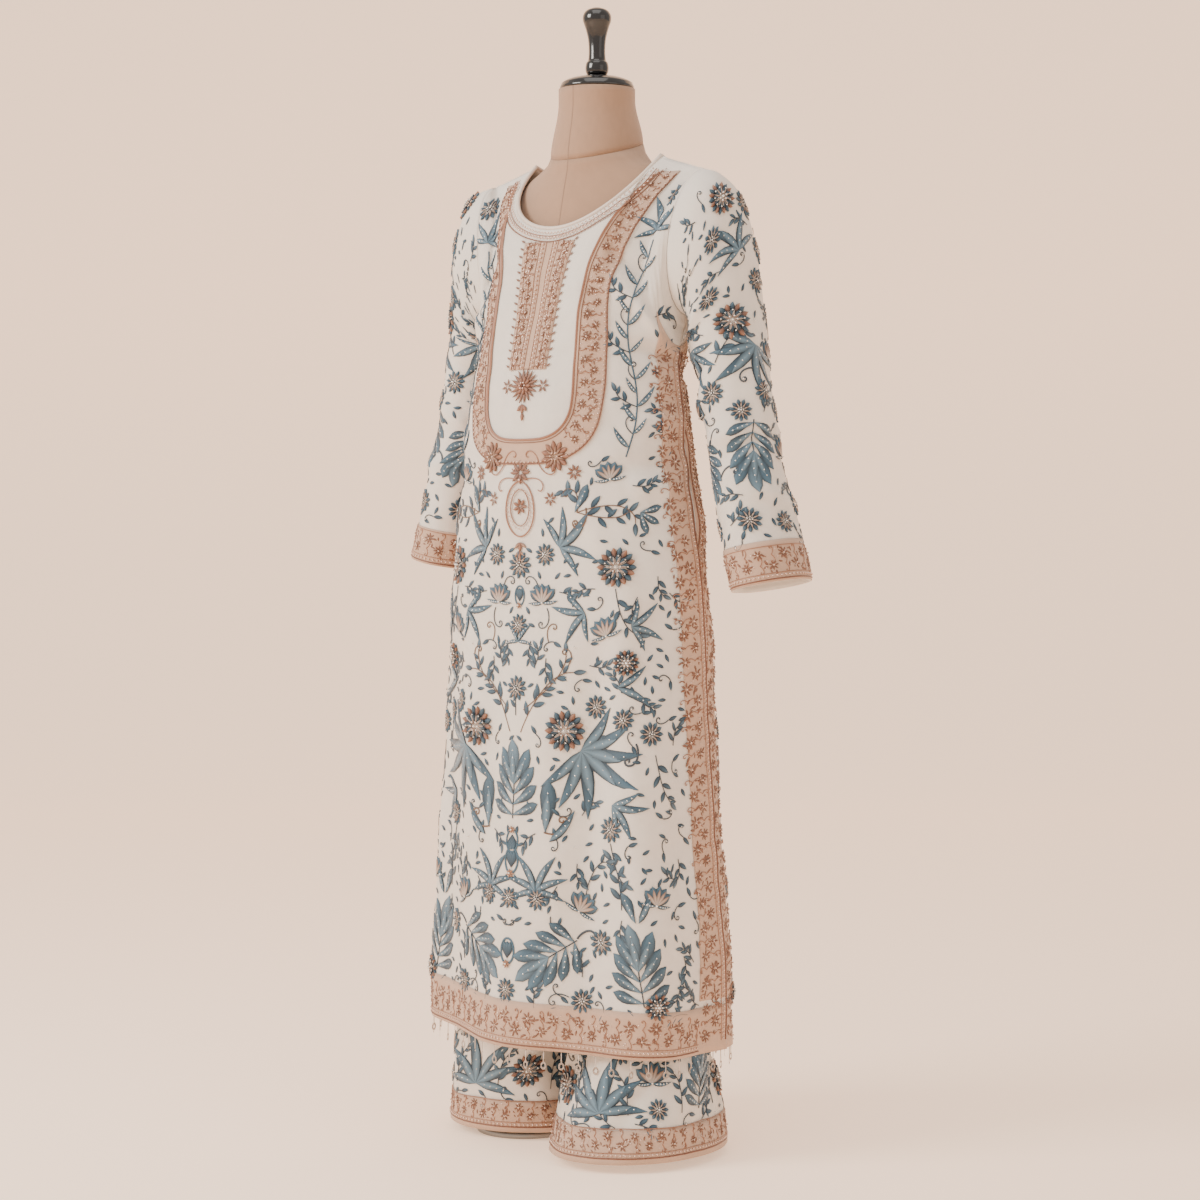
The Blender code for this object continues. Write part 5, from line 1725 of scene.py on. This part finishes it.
def dress_sleeve(cloth, sign, seed):
    """Motifs down one sleeve; `sign` turns the layout towards the front."""
    cloth.side = sign
    lay(cloth, dahlia, (0.010, 0.405, 0.034), (-0.075, 0.400, 0.034), (0.060, 0.372, 0.032),
        (-0.118, 0.352, 0.030), (-0.085, 0.262, 0.032), (-0.050, 0.232, 0.030),
        (-0.012, 0.255, 0.032), (0.055, 0.235, 0.032), (0.128, 0.245, 0.030),
        (0.030, 0.104, 0.034), (-0.060, 0.086, 0.034), (-0.010, 0.078, 0.030),
        (0.085, 0.082, 0.032), (0.140, 0.086, 0.030), (-0.125, 0.084, 0.032),
        (0.030, 0.452, 0.034), (-0.062, 0.480, 0.034), (0.012, 0.510, 0.034))
    lay(cloth, great_flower, (-0.045, 0.352, 0.054), (-0.030, 0.520, 0.044))
    lay(cloth, blade_fan, (-0.015, 0.318, 0.078, -118, 6, 150),
        (0.090, 0.330, 0.074, -80, 6, 150), (-0.120, 0.325, 0.060, -80, 5, 140),
        (-0.020, 0.445, 0.060, 120, 5, 150))
    lay(cloth, bud, (0.020, 0.300, 0.034, 70), (-0.128, 0.238, 0.034, 90),
        (0.020, 0.168, 0.036, 96))
    lay(cloth, palmette, (-0.035, 0.218, 0.100, -98), (0.085, 0.205, 0.096, -84),
        (-0.118, 0.200, 0.086, -88))
    lay(cloth, sprig, (-0.075, 0.300, 60, 0.060, -90, 6, 0.017),
        (0.045, 0.330, 100, 0.050, 60, 5, 0.016), (0.140, 0.300, 95, 0.070, 60, 6, 0.017))
    for at, turn, curl in (((-0.02, 0.285), 160, 470), ((0.05, 0.285), 20, -450),
                           ((-0.09, 0.150), 60, -470), ((0.05, 0.150), 120, 450),
                           ((0.02, 0.130), -60, 460)):
        scroll(cloth, at, turn, 0.050, curl, STEM, 0.0024)
    fill_gaps(cloth, random.Random(seed), -0.168, 0.168, 0.062, 0.545, 0.0, 0.018)


def cuff_work(cloth, seed, top, reach):
    """The border work round a cuff or a trouser hem."""
    chance = random.Random(seed)
    low = level_path(cloth.chart.first_up + 0.0035, reach)
    edged_border(cloth, low, low + (0.0, top - 0.006), chance)


for label, grid, outer, sign, seed in (("left", left_sleeve, 0, 1, 41),
                                       ("right", right_sleeve, SLEEVE_SIDES * 3 - 3, -1, 43)):
    chart = ring_chart(grid, outer, 0.20)
    stitch = Stitching(chart, STITCH_LIFT)
    dress_sleeve(stitch, sign, seed)
    stitch.build(f"{label}_sleeve_embroidery", THREAD, CRYSTAL)
    cuff = Stitching(chart, BAND_STITCH_LIFT)
    cuff_work(cuff, seed, CUFF_BAND, chart_end(chart, 0.02))
    cuff.build(f"{label}_cuff_work", THREAD, ROSE_BEAD)

# %% The back's embroidery


def dress_back(cloth):
    """The back: the front's skirt, with palmettes and vines on its bodice."""
    skirt_middle(cloth)
    lay(cloth, palmette, (0, 0.850, 0.100, 90), (0, 1.080, 0.110, 90))
    lay(cloth, dahlia, (0, 0.975, 0.036), (0, 1.225, 0.034))
    lay(cloth, great_flower, (0, 1.030, 0.056))
    middle = list(cloth.taken)
    for cloth.side in (1.0, -1.0):
        cloth.taken = list(middle)
        skirt_half(cloth)
        side_vine(cloth, 1.225, 0.935)
        lay(cloth, dahlia, (0.050, 0.960, 0.034), (0.050, 1.245, 0.034), (0.120, 1.262, 0.034))
        lay(cloth, blade_fan, (0.050, 1.000, 0.070, 50, 6, 150),
            (0.085, 1.140, 0.070, 100, 6, 160), (0.165, 1.235, 0.050, 100, 5, 160))
        lay(cloth, great_flower, (0.086, 1.105, 0.052))
        chance = random.Random(6)
        fill_gaps(cloth, chance, 0.006, 0.30, 0.212, 0.93, 0.056, 0.022)
        fill_gaps(cloth, chance, 0.006, 0.24, 0.93, 1.30, 0.034, 0.022)


back_stitch = Stitching(BACK_CHART, STITCH_LIFT)
dress_back(back_stitch)
back_stitch.build("back_embroidery", THREAD, CRYSTAL)

# %% The trousers' embroidery


def dress_leg(cloth, sign, seed):
    """Motifs round one trouser hem, up to just above the kameez's hem."""
    cloth.side = sign
    for step, across in enumerate(np.arange(-0.30, 0.301, 0.075)):
        kind = step % 4
        if kind == 0:
            palmette(cloth, (across, 0.072), 0.090, 84)
        elif kind == 1:
            great_flower(cloth, (across, 0.098), 0.048)
            scroll(cloth, (across + 0.02, 0.120), 60, 0.050, -460, STEM, 0.0024)
        elif kind == 2:
            blade_fan(cloth, (across, 0.074), 0.086, 96, 6, 160)
        else:
            bud(cloth, (across, 0.110), 0.040, 90)
            dahlia(cloth, (across + 0.004, 0.078), 0.028)
        dahlia(cloth, (across + 0.036, 0.150), 0.030)
        sprig(cloth, (across + 0.038, 0.072), 85, 0.050, 50, 5, 0.015)
    fill_gaps(cloth, random.Random(seed), -0.34, 0.34, 0.064, 0.24, 0.012, 0.019)


for label, grid, sign, seed in (("left", left_leg, 1, 51), ("right", right_leg, -1, 53)):
    chart = panel_chart(grid, 0.016, 0.30, 0.38)
    stitch = Stitching(chart, STITCH_LIFT)
    dress_leg(stitch, sign, seed)
    stitch.build(f"{label}_leg_embroidery", THREAD, CRYSTAL)
    hem = Stitching(chart, BAND_STITCH_LIFT)
    cuff_work(hem, seed, LEG_BAND, chart_end(chart, 0.03) - 0.010)
    hem.build(f"{label}_trouser_work", THREAD, ROSE_BEAD)

# %% [markdown]
# The hem ends in a fringe: fine threads about 25 mm apart, each with a small ring bead. One thread
# and its ring are made once and repeated along both hems.

# %% Fringe
THREAD_DROP = 0.017
THREAD_PITCH = 0.0245
RING_RADIUS = 0.0036


def joined_mesh(name, verts, faces, material, node):
    """One piece from arrays."""
    mesh = bpy.data.meshes.new(name)
    mesh.from_pydata([tuple(vert) for vert in verts], [], faces)
    mesh.materials.append(material)
    mesh.shade_smooth()
    return piece(name, mesh, node)


def fringe_template():
    """A hanging thread with a ring bead on its end, its top at the origin."""
    bm = bmesh.new()
    made = bmesh.ops.create_cone(bm, cap_ends=True, segments=6, radius1=0.0006, radius2=0.0006,
                                 depth=THREAD_DROP)
    bmesh.ops.translate(bm, verts=made["verts"], vec=(0, 0, -THREAD_DROP / 2))
    ring = bmesh.new()
    made = bmesh.ops.create_circle(ring, segments=6, radius=0.0013)
    bmesh.ops.rotate(ring, verts=made["verts"], cent=(0, 0, 0),
                     matrix=Matrix.Rotation(math.pi / 2, 3, "X"))
    bmesh.ops.translate(ring, verts=made["verts"], vec=(RING_RADIUS, 0, 0))
    bmesh.ops.spin(ring, geom=ring.verts[:] + ring.edges[:], cent=(0, 0, 0), axis=(0, 1, 0),
                   angle=2 * math.pi, steps=14, use_duplicate=False)
    bmesh.ops.remove_doubles(ring, verts=ring.verts, dist=0.00001)
    bmesh.ops.recalc_face_normals(ring, faces=ring.faces)
    ring.verts.index_update()
    hung = [bm.verts.new((vert.co.x * 0.85, vert.co.y,
                          vert.co.z * 1.2 - THREAD_DROP - RING_RADIUS * 1.2))
            for vert in ring.verts]
    for face in ring.faces:
        bm.faces.new([hung[vert.index] for vert in face.verts])
    ring.free()
    bm.verts.index_update()
    return template(bm, [0.0] * len(bm.verts), [0.0] * len(bm.verts))


def hem_fringe(name, panel, material, node):
    """The fringe of one hem."""
    line = panel[0]
    travelled = lengths(line)
    unit_shape = fringe_template()
    chance = random.Random(61)
    verts = []
    faces = []
    for place in np.arange(THREAD_PITCH / 2, travelled[-1], THREAD_PITCH):
        place = min(place + chance.uniform(-0.0025, 0.0025), travelled[-1])
        at = point_on(line, travelled, place)
        turn = math.atan2(at[1], at[0]) + math.pi / 2 + chance.uniform(-0.5, 0.5)
        local = unit_shape.verts * (1, 1, chance.uniform(0.90, 1.0))
        swing = chance.uniform(-0.05, 0.05)
        x = local[:, 0] * math.cos(turn) - local[:, 1] * math.sin(turn)
        y = local[:, 0] * math.sin(turn) + local[:, 1] * math.cos(turn)
        x = x + swing * local[:, 2] * math.cos(turn)
        y = y + swing * local[:, 2] * math.sin(turn)
        inward = unit(np.array([-at[0], -at[1]])) * 0.0008
        first = len(verts)
        verts.extend(np.stack([at[0] + inward[0] + x, at[1] + inward[1] + y,
                               at[2] + local[:, 2]], axis=1))
        faces.extend(tuple(first + index for index in face) for face in unit_shape.faces)
    joined_mesh(name, verts, faces, material, node)


FRINGE_LOOK = plain_material("fringe thread", (0.74, 0.62, 0.53), 0.35)
hem_fringe("front_fringe", front, FRINGE_LOOK, "hem_fringe_front")
hem_fringe("back_fringe", back, FRINGE_LOOK, "hem_fringe_back")

# %% [markdown]
# The neckline is bound with a covered cord. The form is a padded torso under tan jersey with seams
# down the front of its body and its neck, a black turned cap and finial, and a steel stand.

# %% Binding, waistband and form
BINDING_RADIUS = 0.0028
BINDING_SHIFT = 0.0016     # how far in and up the binding sits from the panels' edge
WAIST_SIDES = 240
WAIST_TUCKS = 60
NECK_TOP_RADIUS = 0.0525
PIPING = plain_material("binding", (0.78, 0.66, 0.57), 0.55)
JERSEY = cloth_material("form jersey", (0.40, 0.240, 0.150), 0.80, 3000.0, 0.00012)
SEAM = plain_material("form seam", (0.30, 0.19, 0.13), 0.8)
BLACK = plain_material("black lacquer", (0.010, 0.010, 0.011), 0.16, {"Coat Weight": 0.5})
STEEL = plain_material("stand steel", (0.30, 0.29, 0.28), 0.35, {"Metallic": 0.9})


def ring_tube(centres, radius, sides=10):
    """Vertices and faces of a closed cord through these centres."""
    along = unit(np.roll(centres, -1, axis=0) - np.roll(centres, 1, axis=0))
    out = unit(np.cross(along, np.array([0.0, 0.0, 1.0])))
    up = unit(np.cross(out, along))
    count = len(centres)
    verts = []
    faces = []
    for side in range(sides):
        angle = 2 * math.pi * side / sides
        verts.extend(centres + (out * math.cos(angle) + up * math.sin(angle)) * radius)
        beside = (side + 1) % sides
        for step in range(count):
            ahead = (step + 1) % count
            faces.append((side * count + step, side * count + ahead, beside * count + ahead,
                          beside * count + step))
    return verts, faces


neck_shares = np.linspace(-NECK_STEPS, NECK_STEPS, 81) / HALF_STEPS
neck_loop = np.array([top_edge(share, False) for share in neck_shares]
                     + [top_edge(share, True) for share in neck_shares[::-1][1:-1]])
neck_middle = np.array([0.0, NECK_AXIS_Y, 1.30])
neck_inward = unit((neck_middle - neck_loop) * (1.0, 1.0, 0.0))
binding_middle = neck_loop + neck_inward * BINDING_SHIFT + (0, 0, BINDING_SHIFT)
binding_verts, binding_faces = ring_tube(binding_middle, BINDING_RADIUS)
joined_mesh("neck_piping", binding_verts, binding_faces, PIPING, "neck_binding")

waist_rows = []
for z in np.linspace(TROUSER_TOP + GAP, TROUSER_TOP + 0.040, 7):
    turns = 2 * math.pi * np.arange(WAIST_SIDES) / WAIST_SIDES
    ruffle = 0.0010 * np.cos(WAIST_TUCKS * turns) - 0.0012
    depth = np.where(np.cos(turns) > 0, curve_value(HIPS, z, "front"),
                     curve_value(HIPS, z, "back"))
    width = curve_value(HIPS, z, "half_width")
    waist_rows.append(np.stack([(width + ruffle) * np.sin(turns),
                                -(depth + ruffle) * np.cos(turns), np.full(WAIST_SIDES, z)],
                               axis=1))
cloth_sheet("waistband_cloth", np.array(waist_rows), True, TROUSER_CLOTH, "waistband")


def form_ring(z, steps=96):
    """One ring of the form's torso."""
    size = {name: curve_value(FORM, z, name)
            for name in ("half_width", "front", "back", "squareness", "rise")}
    middle = (size["back"] - size["front"]) / 2
    half_depth = (size["back"] + size["front"]) / 2
    power = 2.0 / size["squareness"]
    turns = 2 * math.pi * np.arange(steps) / steps
    across = np.sin(turns)
    along = -np.cos(turns)
    share = np.sign(along) * np.abs(along) ** power
    return np.stack([np.sign(across) * np.abs(across) ** power * size["half_width"],
                     middle + share * half_depth, z + size["rise"] / 2 * share], axis=1)


def neck_ring(share, steps=96):
    """One ring of the neck, tilted at its base and level at its top."""
    base = FORM[-1]
    radius = base.half_width + (NECK_TOP_RADIUS - base.half_width) * ease(share * 1.25)
    turns = 2 * math.pi * np.arange(steps) / steps
    low = base.z - base.rise / 2 * np.cos(turns) + GAP
    z = low + (NECK_TOP - low) * share
    middle = (base.back - base.front) / 2
    return np.stack([radius * np.sin(turns), middle - radius * np.cos(turns), z], axis=1)


def stacked(name, rings, material, node):
    """A closed solid through rings of equal count, with a UV map in metres."""
    points = np.array(rings)
    rows, columns = points.shape[:2]
    faces = []
    for row in range(rows - 1):
        for column in range(columns):
            ahead = (column + 1) % columns
            faces.append((row * columns + column, row * columns + ahead,
                          (row + 1) * columns + ahead, (row + 1) * columns + column))
    faces.append(tuple(range(columns))[::-1])
    faces.append(tuple(range((rows - 1) * columns, rows * columns)))
    item = joined_mesh(name, points.reshape(-1, 3), faces, material, node)
    uv = item.data.uv_layers.new(name="cloth")
    for loop in item.data.loops:
        row, column = divmod(loop.vertex_index, columns)
        uv.data[loop.index].uv = (column * 0.009, points[row, column, 2])


torso_heights = np.linspace(FORM[0].z, FORM[-1].z, 60)
stacked("torso", [form_ring(z) for z in torso_heights], JERSEY, "form_torso")
stacked("neck", [neck_ring(step / 12) for step in range(13)], JERSEY, "form_neck")


def seam_strip(name, points):
    """A fine vertical seam: a narrow strip that stands just proud of the form's front."""
    points = np.array(points) + (0.0, -0.0003, 0.0)
    side = np.array((0.0005, 0.0, 0.0))
    count = len(points)
    faces = [(step, step + count, step + count + 1, step + 1) for step in range(count - 1)]
    joined_mesh(name, np.concatenate([points - side, points + side]), faces, SEAM, None)


seam_strip("front_seam", [form_ring(z)[0] for z in np.linspace(1.10, 1.356, 40)])
seam_strip("neck_seam", [neck_ring(share)[0] for share in np.linspace(0, 1, 16)])


def turned(name, profile, centre, material, node, slot_name, steps=64):
    """A solid of revolution: a profile spun about a vertical axis."""
    bm = bmesh.new()
    verts = [bm.verts.new((radius, 0, height)) for radius, height in profile]
    edges = [bm.edges.new(pair) for pair in zip(verts, verts[1:])]
    bmesh.ops.spin(bm, geom=verts + edges, cent=(0, 0, 0), axis=(0, 0, 1), angle=2 * math.pi,
                   steps=steps, use_duplicate=False)
    bmesh.ops.remove_doubles(bm, verts=bm.verts, dist=0.00001)
    bmesh.ops.recalc_face_normals(bm, faces=bm.faces)
    bmesh.ops.translate(bm, verts=bm.verts, vec=centre)
    places = [vert.co[:] for vert in bm.verts]
    bm.verts.index_update()
    faces = [tuple(vert.index for vert in face.verts) for face in bm.faces]
    bm.free()
    joined_mesh(name, places, faces, material, node)


def smooth_profile(pairs, times=5):
    """A turning profile on a smooth curve through its rings, closed on its axis."""
    curve = finer(np.array(pairs), times, 0)
    return [(0.0, curve[0][1])] + [tuple(pair) for pair in curve] + [(0.0, curve[-1][1])]


cap_base = NECK_TOP + GAP
dome = [(0.0, 0.0), (0.0500, 0.0), (0.0510, 0.0010), (0.0510, 0.0035), (0.0504, 0.0045)]
dome += [(0.051 * math.cos(math.radians(turn)), 0.004 + 0.015 * math.sin(math.radians(turn)))
         for turn in range(15, 91, 5)]
turned("cap", dome, (0, NECK_AXIS_Y, cap_base), BLACK, "neck_cap", "black_lacquer")
FINIAL = ((0.0110, 0.0), (0.0148, 0.003), (0.0160, 0.010), (0.0148, 0.017), (0.0122, 0.021),
          (0.0113, 0.034), (0.0125, 0.050), (0.0160, 0.064), (0.0195, 0.075), (0.0188, 0.083),
          (0.0140, 0.089), (0.0050, 0.0925))
turned("knob", smooth_profile(FINIAL), (0, NECK_AXIS_Y, cap_base + 0.0190), BLACK, "finial",
       "black_lacquer")
FOOT = ((0, 0), (0.0675, 0), (0.068, 0.0005), (0.068, 0.006), (0.0665, 0.0085), (0.063, 0.010),
        (0, 0.010))
POST = ((0, 0.0104), (0.011, 0.0104), (0.011, 0.6996), (0, 0.6996))
for label, x in (("left", 0.100), ("right", -0.100)):
    for part, profile in (("foot", FOOT), ("post", POST)):
        turned(f"{label}_{part}", profile, (x, 0, 0), STEEL, f"{part}_{label}", "stand_metal")

# %% [markdown]
# A cut holds a cloth's flat size, as it would be cut: the widest part by the longest, and the
# cut's own area where it isn't a rectangle.

# %% Cut sizes
Cut = namedtuple("Cut", "sheet width length area held rests_on")
